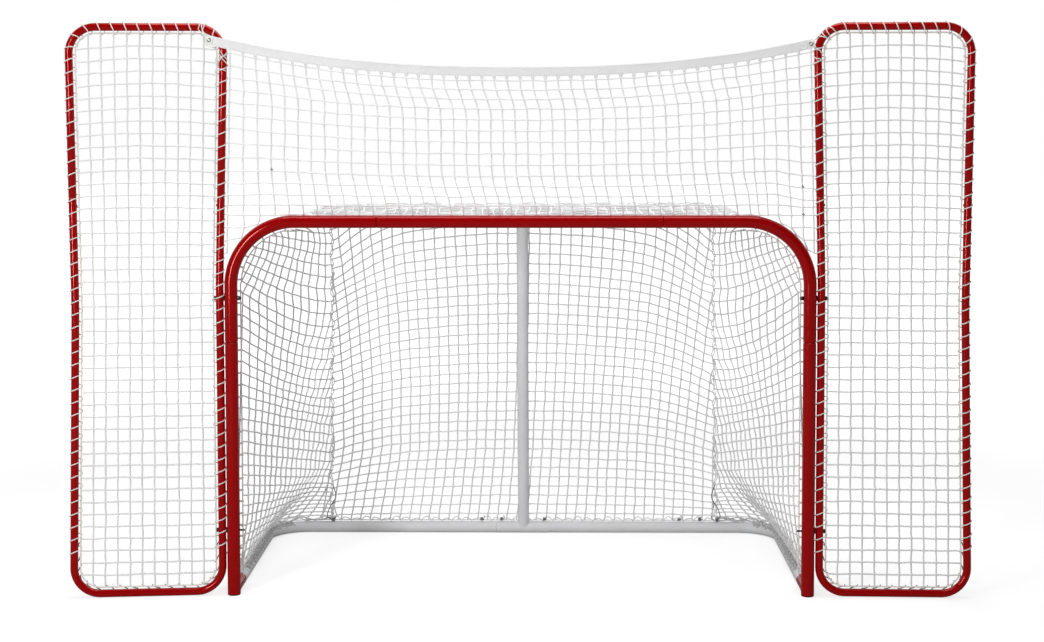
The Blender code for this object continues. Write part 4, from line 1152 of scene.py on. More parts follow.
def tubeLine(path, diameter, thickest, ends=("plain", "plain")):
    # an end is cut plain, drawn down to a plug's shoulder, or run straight into another tube
    full = diameter / thickest
    lip, shoulder = tubeSetup["lip"], tubeSetup["shoulder"]
    points, radii = [Vector(point) for point in path], [full] * len(path)
    for end in (0, -1):
        style = ends[end]
        if style == "into":
            continue
        tip = points[end]
        inner = points[1] if end == 0 else points[-2]
        onward = (inner - tip).normalized()
        if style == "plain":
            step, thin = lip, full - 2 * lip / thickest
        else:
            step, thin = shoulder, full * tubeSetup["drawn"]
        near = tip + onward * step
        if end == 0:
            points[0:1] = [tip, near]
            radii[0:1] = [thin, full]
        else:
            points[-1:] = [near, tip]
            radii[-1:] = [full, thin]
    return (points, False, radii)


def weldLine(centre, main, mainRadius, branch, branchRadius, thickest):
    # a bead where a branch leaves a tube, lying on both and slightly uneven
    main, branch = Vector(main).normalized(), Vector(branch).normalized()
    branch = (branch - main * branch.dot(main)).normalized()
    third = main.cross(branch)
    setup = tubeSetup
    points, radii = [], []
    count = 72
    for step in range(count):
        angle = 2 * math.pi * step / count
        along, across = branchRadius * math.cos(angle), branchRadius * math.sin(angle)
        out = math.sqrt(max(0.0, mainRadius ** 2 - min(abs(across), mainRadius * 0.995) ** 2))
        place = Vector(centre) + main * along + third * across + branch * (out + 0.0005)
        thick = setup["weld"] * (1 + setup["weldUneven"] * math.sin(step * 1.9))
        place.z = max(place.z, thick / 2 + 0.0002)
        points.append(place)
        radii.append(thick / thickest)
    return (points, True, radii)


def tubePiece(name, node, lines, diameter, finish):
    addPiece(name, roundMesh(lines, diameter, tubeSetup["sides"]), finish, node, sharp=30)


def rodLine(points, thickest):
    return (points, False, [tubeSetup["rail"] / thickest] * len(points))


def railLines(path, spots, thickest):
    # the net rail follows the tube behind it, turned in at both ends, with a few pegs between
    setup = tubeSetup
    away, nearer = Vector((0, setup["railY"], 0)), Vector((0, setup["railEnd"], 0))
    rail = [path[0] + nearer] + [point + away for point in path] + [path[-1] + nearer]
    radius = [setup["railBend"]]
    rail = (filletPath(rail[:3], radius, 4)[:-1] + rail[2:-2]
            + filletPath(rail[-3:], radius, 4)[1:])
    lines = [rodLine(rail, thickest)]
    lengths = pathLengths(path)
    for spot in spots:
        here = alongPath(path, lengths, lengths[-1] * spot)
        lines.append(rodLine([here + nearer, here + away], thickest))
    return lines


def stubLines(place, along, reach):
    # a stub to the rear, with its weld bead round it
    setup = tubeSetup
    front, rear = setup["front"], setup["rear"]
    stub = [Vector(place) + Vector((0, start, 0)) for start in (setup["stubFrom"], reach)]
    return [tubeLine(stub, rear, front, ("into", "plain")),
            weldLine(place, along, front / 2, (0, 1, 0), rear / 2 * setup["branch"], front)]


def frontFrame():
    setup = tubeSetup
    front, gap, inset = setup["front"], setup["gap"], setup["railInset"]
    barZ, baseZ = setup["barZ"], setup["baseZ"]
    barSeam, postSeam = setup["barSeam"], setup["postSeam"]
    bar = [Vector((x, 0, barZ)) for x in np.linspace(-barSeam, barSeam, 12)]
    railPath = [Vector((x, 0, barZ)) for x in np.linspace(inset - barSeam, barSeam - inset, 8)]
    lines = [tubeLine(bar, front, front)] + railLines(railPath, (0.2, 0.4, 0.6, 0.8), front)
    tubePiece("crossbarTube", "crossbar", lines, front, "redPaint")
    for label, side in bothSides:
        x = side * setup["postX"]
        post = [Vector((x, 0, z)) for z in np.linspace(setup["postFoot"], postSeam, 10)]
        railPath = [Vector((x, 0, z)) for z in np.linspace(setup["railFoot"], postSeam - inset, 6)]
        lines = [tubeLine(post, front, front)]
        lines += stubLines((x, 0, baseZ), (0, 0, 1), setup["baseStub"])
        lines += railLines(railPath, (0.25, 0.5, 0.75), front)
        tubePiece(label + "PostTube", label + "_lower_post", lines, front, "redPaint")

        corner = Vector((x, 0, barZ))
        bend = filletPath([Vector((x, 0, postSeam + gap)), corner,
                           Vector((side * (barSeam + gap), 0, barZ))], [setup["corner"]], 28)
        railPath = filletPath([Vector((x, 0, postSeam + inset)), corner,
                               Vector((side * (barSeam + inset), 0, barZ))], [setup["corner"]], 16)
        lines = [tubeLine(bend, front, front, ("drawn", "drawn"))]
        lines += stubLines((side * setup["shelfHalf"], 0, barZ), (1, 0, 0), setup["shelfStub"])
        lines += railLines(railPath, (), front)
        tubePiece(label + "CornerTube", label + "_corner_tube", lines, front, "redPaint")


def rearFrame():
    setup = tubeSetup
    rear, tee = setup["rear"], setup["tee"]
    rearParts = (("Base", "_base_tube", setup["postX"], setup["baseDepth"], setup["baseZ"],
                  setup["baseCorner"], setup["baseStub"]),
                 ("Shelf", "_shelf_tube", setup["shelfHalf"], setup["shelfDepth"], setup["barZ"],
                  setup["shelfCorner"], setup["shelfStub"]))
    for label, side in bothSides:
        for name, node, half, depth, height, radius, start in rearParts:
            corners = [Vector((side * half, start + setup["gap"], height)),
                       Vector((side * half, depth, height)),
                       Vector((side * (setup["teeHalf"] + setup["gap"]), depth, height))]
            bend = filletPath(corners, [radius], 24)
            tubePiece(label + name + "Tube", label + node,
                      [tubeLine(bend, rear, rear, ("drawn", "drawn"))], rear, "greyPaint")
    low = Vector((0, setup["baseDepth"], setup["baseZ"]))
    high = Vector((0, setup["shelfDepth"], setup["barZ"]))
    up = (high - low).normalized()
    arm = Vector((setup["teeHalf"], 0, 0))
    ends = [low + up * setup["stubFrom"], high - up * setup["stubFrom"]]
    lines = [tubeLine(ends, rear, tee, ("into", "into"))]
    for centre, branch in ((low, up), (high, -up)):
        lines.append(tubeLine([centre - arm, centre + arm], tee, tee))
        lines.append(weldLine(centre, (1, 0, 0), tee / 2, branch, rear / 2 * setup["branch"], tee))
    tubePiece("centrePostTube", "centre_post", lines, tee, "greyPaint")


def sideFrames():
    setup, tube = sideFrame, sideFrame["tube"]
    outer, bend = setup["outerBend"]
    radius, gap = setup["cornerRadius"], tubeSetup["gap"]
    for label, side in bothSides:
        seam = [(legOut(side, leg, setup["seam"]), setup["seam"]) for leg in ("outer", "inner")]
        low = [seam[0], (outer, bend), (setup["outerFoot"], setup["foot"]), (0.0, setup["foot"]),
               (0.0, setup["innerBend"]), seam[1]]
        corners = [framePoint(side, out, height) for out, height in low]
        path = filletPath(corners, [setup["outerRadius"], radius, radius, setup["innerRadius"]], 24)
        tubePiece(label + "FrameLower", label + "_side_frame_lower", [tubeLine(path, tube, tube)],
                  tube, "redPaint")
        high = [(seam[0][0], seam[0][1] + gap), (setup["outerTop"], setup["top"]),
                (setup["innerTop"][side], setup["top"]), (seam[1][0], seam[1][1] + gap)]
        corners = [framePoint(side, out, height) for out, height in high]
        path = filletPath(corners, [radius, radius], 24)
        tubePiece(label + "FrameUpper", label + "_side_frame_upper",
                  [tubeLine(path, tube, tube, ("drawn", "drawn"))], tube, "redPaint")


frontFrame()
rearFrame()
sideFrames()
print("tubes made")


# strap: a woven band laid along its sagging line, sewn along both edges
bandSetup = {
    "onNet": 0.00305, "onTube": 0.00155, "climb": 0.084,    # how far forward it lies, and where
    # rounded ends, faces across and along, the eyelets' holes, and the band's uneven form
    "rounding": 0.009, "across": 20, "along": 330, "eyeHole": 0.0062,
    "thinEdge": 0.4, "twist": 0.0005,
    # two rows of stitches along the edges, and a bar of them inside each eyelet
    "stitchUp": 0.0118, "stitchPitch": 0.0062, "stitch": 0.0046, "stitchFrom": 0.015,
    "barFrom": 0.0125, "barPitch": 0.0014, "barHalf": 0.0105, "thread": 0.0010,
}


def strapForward(x):
    # on the net, and climbing over the left side frame's tube
    setup, swing = bandSetup, math.radians(sideFrame["swing"][-1])
    tube = sideFrame["tube"] / 2
    leg = -legX(-1, strapSetup["end"])
    past = strapSetup["eyes"][-1] - leg + strapSetup["beyond"]
    onTube = tube / math.cos(swing) + setup["onTube"] + past * math.tan(swing)
    share = smooth((-x - (leg - tube - setup["climb"])) / setup["climb"])
    return -(setup["onNet"] + (onTube - setup["onNet"]) * share)


def strapPoint(x, up=0.0, out=0.0):
    slope = (strapHeight(x + 0.001) - strapHeight(x - 0.001)) / 0.002
    across = Vector((-slope, 0, 1)).normalized()
    return Vector((x, strapForward(x) - out, strapHeight(x))) + across * up


def strapStations():
    setup = strapSetup
    left, right = -setup["eyes"][-1] - setup["beyond"], setup["eyes"][1] + setup["beyond"]
    fine = [0.0, 0.0004, 0.0012, 0.0026, 0.0046, 0.0068, 0.009]
    fine += list(np.arange(0.0105, 0.0226, 0.0015))
    middle = list(np.linspace(left + fine[-1], right - fine[-1], bandSetup["along"]))
    return [left + step for step in fine[:-1]] + middle + [right - step for step in fine[-2::-1]]


def strapBand():
    setup = strapSetup
    stations = strapStations()
    half, rounding = setup["width"] / 2, bandSetup["rounding"]
    count = len(stations) - 1
    bm = bmesh.new()
    bmesh.ops.create_grid(bm, x_segments=count, y_segments=bandSetup["across"], size=0.5)
    for vert in bm.verts:
        x = stations[round((vert.co.x + 0.5) * count)]
        short = rounding - min(x - stations[0], stations[-1] - x)
        wide = half - rounding + math.sqrt(rounding ** 2 - short ** 2) if short > 0 else half
        vert.co = Vector((x, 0, 2 * vert.co.y * wide))
    eyes = [Vector((side * setup["eyes"][side], 0, 0)) for side in (-1, 1)]
    holes = [face for face in bm.faces
             if any(max((vert.co - eye).length for vert in face.verts) < bandSetup["eyeHole"]
                    for eye in eyes)]
    bmesh.ops.delete(bm, geom=holes, context="FACES")
    front = bm.faces[:]
    bmesh.ops.recalc_face_normals(bm, faces=front)
    fronts = set(bm.verts)
    bmesh.ops.extrude_face_region(bm, geom=front + bm.edges[:] + bm.verts[:])
    layer = bm.loops.layers.uv.new("weave")
    for face in bm.faces:
        for loop in face.loops:
            loop[layer].uv = (loop.vert.co.x, loop.vert.co.z)
    for vert in bm.verts:
        x, up = vert.co.x, vert.co.z
        edge = 1 - bandSetup["thinEdge"] * min(1.0, abs(up) / half) ** 12
        out = setup["thickness"] / 2 * edge * (1 if vert in fronts else -1)
        out += bandSetup["twist"] * math.sin(x * 23) * (up / half)
        vert.co = strapPoint(x, up, out)
    bmesh.ops.recalc_face_normals(bm, faces=bm.faces[:])
    mesh = bpy.data.meshes.new("strap")
    bm.to_mesh(mesh)
    bm.free()
    return mesh


def stitchLine(start, end, lift):
    # one stitch of thread: up out of the band, along it and down again
    return openLine([start, start.lerp(end, 0.2) + lift, start.lerp(end, 0.8) + lift, end])


def strapStitches():
    setup, eyes = bandSetup, strapSetup["eyes"]
    lines = []
    lift, face = Vector((0, -0.0005, 0)), strapSetup["thickness"] / 2 - 0.0001
    first, last = -eyes[-1] + setup["stitchFrom"], eyes[1] - setup["stitchFrom"]
    for up in (-setup["stitchUp"], setup["stitchUp"]):
        for x in np.arange(first, last, setup["stitchPitch"]):
            lines.append(stitchLine(strapPoint(x, up, face),
                                    strapPoint(x + setup["stitch"], up, face), lift))
    for side in (-1, 1):                        # a bar of close stitches inside each eyelet
        x = side * (eyes[side] - setup["barFrom"])
        for up in np.arange(-setup["barHalf"], setup["barHalf"] + 0.0001, setup["barPitch"]):
            lines.append(stitchLine(strapPoint(x - 0.0016, up, face),
                                    strapPoint(x + 0.0016, up + 0.0005, face), lift))
    return lines


addPiece("topStrap", strapBand(), "strapWeb", "top_strap", sharp=60)
addPiece("strapStitches", roundMesh(strapStitches(), bandSetup["thread"], 4), "strapThread",
         sharp=90)
print("strap made")


# turned and hexagonal fixings
def turned(outline, steps=32):
    # a closed outline of radius and distance, turned round the X axis
    bm = bmesh.new()
    verts = [bm.verts.new((along, radius, 0)) for radius, along in outline]
    edges = [bm.edges.new((verts[index - 1], verts[index])) for index in range(len(verts))]
    if outline[0][0] == 0 and outline[-1][0] == 0:
        bm.edges.remove(edges[0])
        edges = edges[1:]
    bmesh.ops.spin(bm, geom=verts + edges, cent=(0, 0, 0), axis=(1, 0, 0), angle=2 * math.pi,
                   steps=steps, use_merge=True)
    bmesh.ops.remove_doubles(bm, verts=bm.verts[:], dist=1e-6)
    bmesh.ops.recalc_face_normals(bm, faces=bm.faces[:])
    return bm


def hexBlock(across, start, end, edge):
    bm = bmesh.new()
    radius = across / math.cos(math.pi / 6) / 2
    bmesh.ops.create_cone(bm, cap_ends=True, segments=6, radius1=radius, radius2=radius,
                          depth=end - start,
                          matrix=Matrix.Translation(((start + end) / 2, 0, 0))
                          @ Matrix.Rotation(math.pi / 2, 4, "Y"))
    bmesh.ops.bevel(bm, geom=bm.edges[:], affect="EDGES", offset=edge, segments=2, profile=0.5)
    return bm


def aimed(blocks, place, along):
    # the blocks' X axis is turned to a direction, and they become one mesh at their place
    along = Vector(along).normalized()
    turn = Vector((1, 0, 0)).rotation_difference(along).to_matrix().to_4x4()
    whole = bmesh.new()
    for block in blocks:
        part = bpy.data.meshes.new("part")
        block.to_mesh(part)
        block.free()
        whole.from_mesh(part)
        bpy.data.meshes.remove(part)
    mesh = bpy.data.meshes.new("fixing")
    whole.to_mesh(mesh)
    whole.free()
    mesh.transform(Matrix.Translation(Vector(place)) @ turn)
    return mesh


fixingSetup = {
    "boltHeight": 0.974, "pinHeight": 0.214, "spacing": 0.003, "gap": 0.0003,
    "across": 0.013, "headHigh": 0.0053, "bolt": 0.008, "pin": 0.0065, "pinReach": 0.016,
    "spacer": 0.018, "screwX": 0.4525, "screwHeight": 1.275, "bevel": 0.0006,
    "screw": 0.0024, "screwLong": 0.008,
    "nutLong": 0.0078, "domeFrom": 0.0062, "dome": 0.0061, "bore": 0.00415,
    "button": (0.0045, 0.0028, 0.0016),         # radius, height and socket of a button head
    "barButton": (0.0044, 0.0028, 0.0016),
    # profiles of radius and distance: foot cap, and eyelet in millimetres
    "cap": ((0, 0), (0.0188, 0), (0.0200, 0.0004), (0.0208, 0.0012), (0.0210, 0.0022),
            (0.0209, 0.0028), (0.0206, 0.0030), (0.0184, 0.0030), (0.0184, 0.0095),
            (0.0176, 0.0128), (0.0150, 0.0130), (0.0150, 0.0045), (0, 0.0045)),
    "eyelet": ((3.5, -1.9), (3.75, -2.4), (4.5, -2.7), (5.7, -2.55), (6.6, -2.15), (7.0, -1.7),
               (6.8, -1.55), (4.75, -1.55), (4.75, 1.55), (6.8, 1.55), (7.0, 1.75), (6.5, 2.1),
               (5.2, 2.35), (4.0, 2.25), (3.5, 1.8)),
}


def buttonHead(radius, height, socket):
    # domed head with a hexagonal socket
    shank, end = fixingSetup["screw"], -fixingSetup["screwLong"]
    dome = [(radius * math.cos(angle), height * (0.25 + 0.75 * math.sin(angle)))
            for angle in np.linspace(0, math.acos(socket / radius), 7)]
    outline = [(0, height * 0.35), (socket, height * 0.35)] + dome[::-1] + [
        (radius * 0.97, 0.0), (shank, -0.0002), (shank, end), (0, end)]
    bm = turned(outline, 36)
    for vert in bm.verts:
        away = math.hypot(vert.co.y, vert.co.z)
        if 0.0005 < away < socket * 1.02 and vert.co.x > 0:
            turn = math.atan2(vert.co.z, vert.co.y) % (math.pi / 3) - math.pi / 6
            shape = math.cos(math.pi / 6) / math.cos(turn)
            vert.co.y *= shape
            vert.co.z *= shape
    return bm


def washerRing(inner, outer, start, end, soft):
    outline = [(inner, start + soft), (inner + soft, start), (outer - soft, start),
               (outer, start + soft), (outer, end - soft), (outer - soft, end),
               (inner + soft, end), (inner, end - soft)]
    return turned(outline, 36)


def headed(shank, steps, legFace):
    # a shank with its washer and hexagonal head, which stand on the side frame's leg
    setup = fixingSetup
    shank = [(0, shank[0][1])] + shank + [(shank[-1][0], legFace + 0.001), (0, legFace + 0.001)]
    washer = [(0, legFace), (0.0062, legFace), (0.0064, legFace + 0.0004), (0, legFace + 0.0006)]
    return [turned(shank, steps), turned(washer, 36),
            hexBlock(setup["across"], legFace + 0.0005, legFace + setup["headHigh"],
                     setup["bevel"])]


def sideFixings(label, side):
    setup, tubes = fixingSetup, tubeSetup
    legFace = sideFrame["innerLeg"] + sideFrame["tube"] / 2 + setup["gap"]
    postIn = tubes["postX"] - tubes["front"] / 2
    nutFace = postIn - setup["gap"]
    tip, half = nutFace - setup["nutLong"], setup["bolt"] / 2
    place, along = (0, 0, setup["boltHeight"]), (side, 0, 0)
    blocks = headed([(0.0034, tip), (half, tip + 0.0007)], 24, legFace)
    addPiece(label + "SideBolt", aimed(blocks, place, along), "darkSteel", label + "_side_bolt")

    bore, dome, domeFrom = setup["bore"], setup["dome"], setup["domeFrom"]
    outline = [(bore, 0.0), (0.0062, 0.0), (0.0064, -0.0004)]
    outline += [(dome * math.cos(angle), -domeFrom - dome * math.sin(angle))
                for angle in np.linspace(0, math.pi / 2 - 0.001, 10)[:-1]]
    outline += [(0, -domeFrom - dome), (0, -0.0086), (bore, -0.0086)]
    nut = turned(outline, 36)
    bmesh.ops.translate(nut, verts=nut.verts[:], vec=(nutFace, 0, 0))
    collar = hexBlock(setup["across"], nutFace - 0.0064, nutFace - 0.0002, setup["bevel"])
    addPiece(label + "CapNut", aimed([nut, collar], place, along), "darkSteel", label + "_cap_nut")

    tip, half = postIn - setup["pinReach"], setup["pin"] / 2
    place = (0, 0, setup["pinHeight"])
    blocks = headed([(half - 0.0009, tip), (half, tip + 0.0011)], 28, legFace)
    addPiece(label + "SidePin", aimed(blocks, place, along), "darkSteel", label + "_side_pin")

    start = tubes["postX"] + tubes["front"] / 2 + setup["gap"]
    end = start + setup["spacing"] - 2 * setup["gap"]
    for name, height, bore in (("Upper", setup["boltHeight"], setup["bolt"]),
                               ("Lower", setup["pinHeight"], setup["pin"])):
        ring = washerRing(bore / 2 + setup["gap"], setup["spacer"] / 2, start, end, 0.0005)
        node = label + "_" + name.lower() + "_spacer"
        addPiece(label + name + "Spacer", aimed([ring], (0, 0, height), along), "spacerNylon", node)

    cap = aimed([turned(setup["cap"], 48)], (side * tubes["postX"], 0, 0), (0, 0, 1))
    addPiece(label + "FootCap", cap, "capPlastic", label + "_foot_cap")


def screws(label, side):
    setup, half = fixingSetup, tubeSetup["front"] / 2
    place = (side * setup["screwX"], -half, tubeSetup["barZ"])
    addPiece(label + "BarScrew", aimed([buttonHead(*setup["barButton"])], place, (0, -1, 0)),
             "redPaint", label + "_crossbar_screw")
    ring = washerRing(0.0044, 0.0056, -0.0003, 0.0005, 0.0002)
    addPiece(label + "BarWasher", aimed([ring], place, (0, -1, 0)), "redPaint")
    swing, height = math.radians(sideFrame["swing"][side]), setup["screwHeight"]
    outward = Vector((side * math.cos(swing), -math.sin(swing), 0))
    for leg, name, facing in (("inner", "Inner", 1), ("outer", "Outer", -1)):
        slope = (legOut(side, leg, height + 0.01) - legOut(side, leg, height)) / 0.01
        along = (outward - Vector((0, 0, slope))).normalized() * facing
        seat = framePoint(side, legOut(side, leg, height), height) + along * sideFrame["tube"] / 2
        addPiece(label + name + "FrameScrew", aimed([buttonHead(*setup["button"])], seat, along),
                 "darkSteel", label + "_" + leg + "_frame_screw")


def strapEyelet(label, side):
    outline = [(radius / 1000, along / 1000) for radius, along in fixingSetup["eyelet"]]
    ring = turned(outline, 48)
    x = side * strapSetup["eyes"][side]
    addPiece(label + "StrapEyelet", aimed([ring], strapPoint(x), (0, 1, 0)), "zincPlate",
             label + "_strap_eyelet")


for label, side in bothSides:
    sideFixings(label, side)
    screws(label, side)
    strapEyelet(label, side)
print("fixings made")


# cords that tie the strap's ends to the side frames
tieCord = {
    "thick": 0.0031, "steps": 7, "clear": 0.0004,
    # each cord goes through its eyelet and round the bend twice, at these places of the bend
    "leftBend": (84, 74), "leftRound": (40, -10, -60, -110, -160),
    "rightBend": (50, 40), "rightRound": (-60, -10, 40, 90, 140, 190),
    # then down the left leg: degrees round it, height, and how far it stands off
    "leftLeg": ((60, 1.776, 0), (0, 1.760, 0), (-60, 1.745, 0), (-120, 1.742, 0),
                (-180, 1.750, 0), (-240, 1.759, 0), (-300, 1.763, 0), (-360, 1.747, 0),
                (-420, 1.731, 0), (-480, 1.724, 0), (-540, 1.722, 0), (-600, 1.722, 0),
                (-650, 1.727, 0.001), (-690, 1.740, 0.0036), (-725, 1.752, 0.0038),
                (-780, 1.7655, 0.002), (-840, 1.767, 0), (-900, 1.752, 0.002),
                (-960, 1.735, 0.001), (-1020, 1.716, 0), (-1080, 1.712, 0), (-1130, 1.707, 0)),
    # and down the right leg: height, and degrees round it
    "rightLeg": ((1.800, (235,)), (1.786, (275, 310)), (1.772, (340, 370)), (1.762, (400, 440)),
                 (1.758, (490, 540)), (1.752, (590, 640)), (1.744, (690, 730)),
                 (1.737, (780, 830, 875))),
}


def smoothPath(points, steps):
    # a smooth line through the points
    points = [Vector(point) for point in points]
    ends = [points[0] * 2 - points[1]] + points + [points[-1] * 2 - points[-2]]
    path = []
    for a, b, c, d in zip(ends, ends[1:], ends[2:], ends[3:]):
        for step in range(steps):
            t = step / steps
            path.append(0.5 * (2 * b + (c - a) * t + (2 * a - 5 * b + 4 * c - d) * t * t
                               + (3 * b - a - 3 * c + d) * t ** 3))
    path.append(points[-1])
    return path


def roundTube(centre, inward, turns, lift):
    # places round a tube: 0 is its front, 90 the inner side of the bend, 180 its back
    front = Vector((0, -1, 0))
    reach = sideFrame["tube"] / 2 + tieCord["thick"] / 2 + tieCord["clear"]
    return [Vector(centre) + (front * math.cos(math.radians(turn))
                              + Vector(inward) * math.sin(math.radians(turn))) * (reach + lift)
            for turn in turns]


def bendPoint(side, angle):
    # a place on the side frame's inner top bend, and the direction to the bend's inside
    setup = sideFrame
    out = setup["innerTop"][side] + setup["cornerRadius"]
    height = setup["top"] - setup["cornerRadius"]
    away = (-math.cos(math.radians(angle)), math.sin(math.radians(angle)))
    spot = framePoint(side, out + away[0] * setup["cornerRadius"],
                      height + away[1] * setup["cornerRadius"])
    core = framePoint(side, out, height)
    return spot, (core - spot).normalized()


def legPoint(side, height):
    out = legOut(side, "inner", height)
    spot = framePoint(side, out, height)
    return spot, (framePoint(side, out + 0.1, height) - spot).normalized()


def leftTie():
    eye = strapPoint(-strapSetup["eyes"][-1])
    behind, ahead = Vector((0, 0.0075, 0)), Vector((0, -0.0050, 0))
    halves = (Vector((-0.0012, 0, 0.0012)), Vector((0.0012, 0, -0.0012)))
    points = [eye + behind + halves[0]]
    for angle, half in zip(tieCord["leftBend"], halves):
        spot, inward = bendPoint(-1, angle)
        points += [eye + half, eye + half + ahead]
        points += roundTube(spot, inward, tieCord["leftRound"], 0.0)
        points += [eye + behind * 1.6 + half * 2.2 + Vector((-0.010, 0.002, 0.012))]
        if half is halves[0]:
            points += [eye + behind + halves[1] * 1.3]
    # down behind the strap's end, then slanting over the leg and back across itself
    points += [eye + Vector((-0.010, 0.012, -0.006)), eye + Vector((-0.005, -0.001, -0.0185))]
    for turn, height, lift in tieCord["leftLeg"]:
        spot, inward = legPoint(-1, height)
        points += roundTube(spot, inward, (turn,), lift)
    return points


def rightTie():
    eye = strapPoint(strapSetup["eyes"][1])
    behind, ahead = Vector((0, 0.0060, 0)), Vector((0, -0.0050, 0))
    halves = (Vector((-0.0012, 0, -0.0012)), Vector((0.0012, 0, 0.0012)))
    points = [eye + behind + halves[0]]
    for angle, half in zip(tieCord["rightBend"], halves):
        spot, inward = bendPoint(1, angle)
        points += [eye + half, eye + half + ahead]
        points += roundTube(spot, inward, tieCord["rightRound"], 0.0)
        if half is halves[0]:
            points += [eye + behind * 1.4 + halves[1] * 1.8 + Vector((0.012, 0.004, 0.012)),
                       eye + behind + halves[1] * 1.3]
    for height, turns in tieCord["rightLeg"]:
        spot, inward = legPoint(1, height)
        points += roundTube(spot, inward, turns, 0.0)
    return points


for label, points in (("left", leftTie()), ("right", rightTie())):
    path = smoothPath(points, tieCord["steps"])
    mesh = roundMesh([openLine(path)], tieCord["thick"], 10)
    piece = addPiece(label + "StrapCord", mesh, "laceCord")
    path = [point + mouth for point in path]
    length = pathLengths(path)[-1]
    print(label, "strap cord", round(length, 3), "m")
    tuple(path[0])
    [tuple(point) for point in path]
print("strap cords laid")


# hems, ties and edge cords that hold the goal's net and the net above the crossbar
hemSetup = {
    "archPitch": 0.0376, "archHigh": 0.017, "cord": 0.0040, "seat": 0.0445,
    "ties": (-0.160, -0.086, 0.073, 0.575, 0.652), "tieTurns": 2.6,
    "gathered": 5, "shelfPitch": 0.0388, "gather": 0.0031, "tie": 0.0034, "edge": 0.0036,
    # slack twine over the base tube: where each strand starts, and how far round it reaches
    "strands": ((0.150, 52), (0.165, 68), (0.158, 36)), "strandPitch": 0.0105,
    # loops along a side frame's foot, and how far they go up its sides
    "onShelf": 0.0245, "loopPitch": 0.0385, "loopDrop": 0.016, "footRise": 0.10,
}


def wavyLine(path, spread, lift, seed):
    # a slack cord that wanders about a path, and stays above it
    wave = random.Random(seed)
    lengths = pathLengths(path)
    count = max(8, round(lengths[-1] / 0.012))
    phase = [wave.uniform(0, 6.28) for turn in range(4)]
    line = []
    for step in range(count + 1):
        at = lengths[-1] * step / count
        here = alongPath(path, lengths, at)
        sway = spread * (math.sin(at * 41 + phase[0]) + 0.5 * math.sin(at * 97 + phase[1])) / 1.5
        rise = lift * (0.5 + 0.5 * math.sin(at * 53 + phase[2]))
        rise += 0.001 * math.sin(at * 140 + phase[3])
        line.append(here + Vector((sway * 0.5, sway, rise)))
    return openLine(line)


def archLine(path, pitch, high):
    # small arches of cord standing on a tube, one to each mesh
    lengths = pathLengths(path)
    line, at = [], 0.0
    while at < lengths[-1]:
        share = at / pitch
        lean = draw.uniform(-0.0015, 0.0015)
        rise = high * abs(math.sin(math.pi * share)) ** 0.7 * (0.75 + 0.25 * math.sin(share * 2.1))
        line.append(alongPath(path, lengths, at) + Vector((lean, lean - 0.004, rise)))
        at += pitch / 8
    return openLine(line)


def ringLine(centre, along, radius, turns, thick, tail=0.0):
    # a few turns of cord tied round a tube, with a loose end
    along = Vector(along).normalized()
    across = Vector((0, 0, 1)) if abs(along.z) < 0.5 else Vector((0, -1, 0))
    third = along.cross(across)
    line = []
    for step in range(int(turns * 14) + 1):
        angle = 2 * math.pi * step / 14
        line.append(Vector(centre) + (across * math.cos(angle) + third * math.sin(angle)) * radius
                    + along * (thick * 1.05 * angle / (2 * math.pi)))
    if tail:
        line += [line[-1] + across * tail * 0.5 + along * tail * 0.3,
                 line[-1] + across * tail + along * tail * 0.2]
    return openLine(line)


def hemPath(seat):
    right = [Vector((point.x, point.y, seat)) for point in baseLine]
    return [onSide(-1, point) for point in right] + right[::-1]


def hemLines():
    setup = hemSetup
    path = hemPath(goalNet["hem"])
    back = [Vector((x, goalNet["ridgeFoot"][1] - 0.003, setup["seat"]))
            for x in np.linspace(-0.72, 0.72, 20)]
    lines = [openLine(path), archLine(back, setup["archPitch"], setup["archHigh"])]
    gathered = []
    bend = [Vector((point.x, point.y, setup["seat"])) for point in baseLine[9:]]
    for side in (-1, 1):
        corner = [onSide(side, point) for point in bend]
        for strand in range(setup["gathered"] + (1 if side > 0 else -1)):
            gathered.append(wavyLine(corner, 0.006, 0.012, 20 + strand + 10 * side))
        arm = [Vector((side * point.x, point.y, tubeSetup["baseZ"])) for point in baseLine[:17]]
        gathered += armLines(arm, side)
    return lines, gathered


def armLines(path, side):
    # zigzags of slack twine lying over the base tube's upper and inner faces
    radius = tubeSetup["rear"] / 2 + 0.0022
    lengths = pathLengths(path)
    lines = []
    for strand, (start, deep) in enumerate(hemSetup["strands"]):
        line, at, step = [], start, 0
        while at < lengths[-1]:
            here = alongPath(path, lengths, at)
            along = (alongPath(path, lengths, at - 0.006) - here).normalized()
            inward = along.cross(Vector((0, 0, 1)))
            if inward.x * side > 0:
                inward = -inward
            turn = math.radians((4, deep, 20, deep * 0.8)[step % 4] + draw.uniform(-6, 6))
            reach = radius + 0.002 * strand
            line.append(here + inward * math.sin(turn) * reach
                        + Vector((0, 0, 1)) * math.cos(turn) * reach)
            at += hemSetup["strandPitch"] * draw.uniform(0.8, 1.2)
            step += 1
        lines.append(openLine(smoothPath(line, 3)))
    return lines


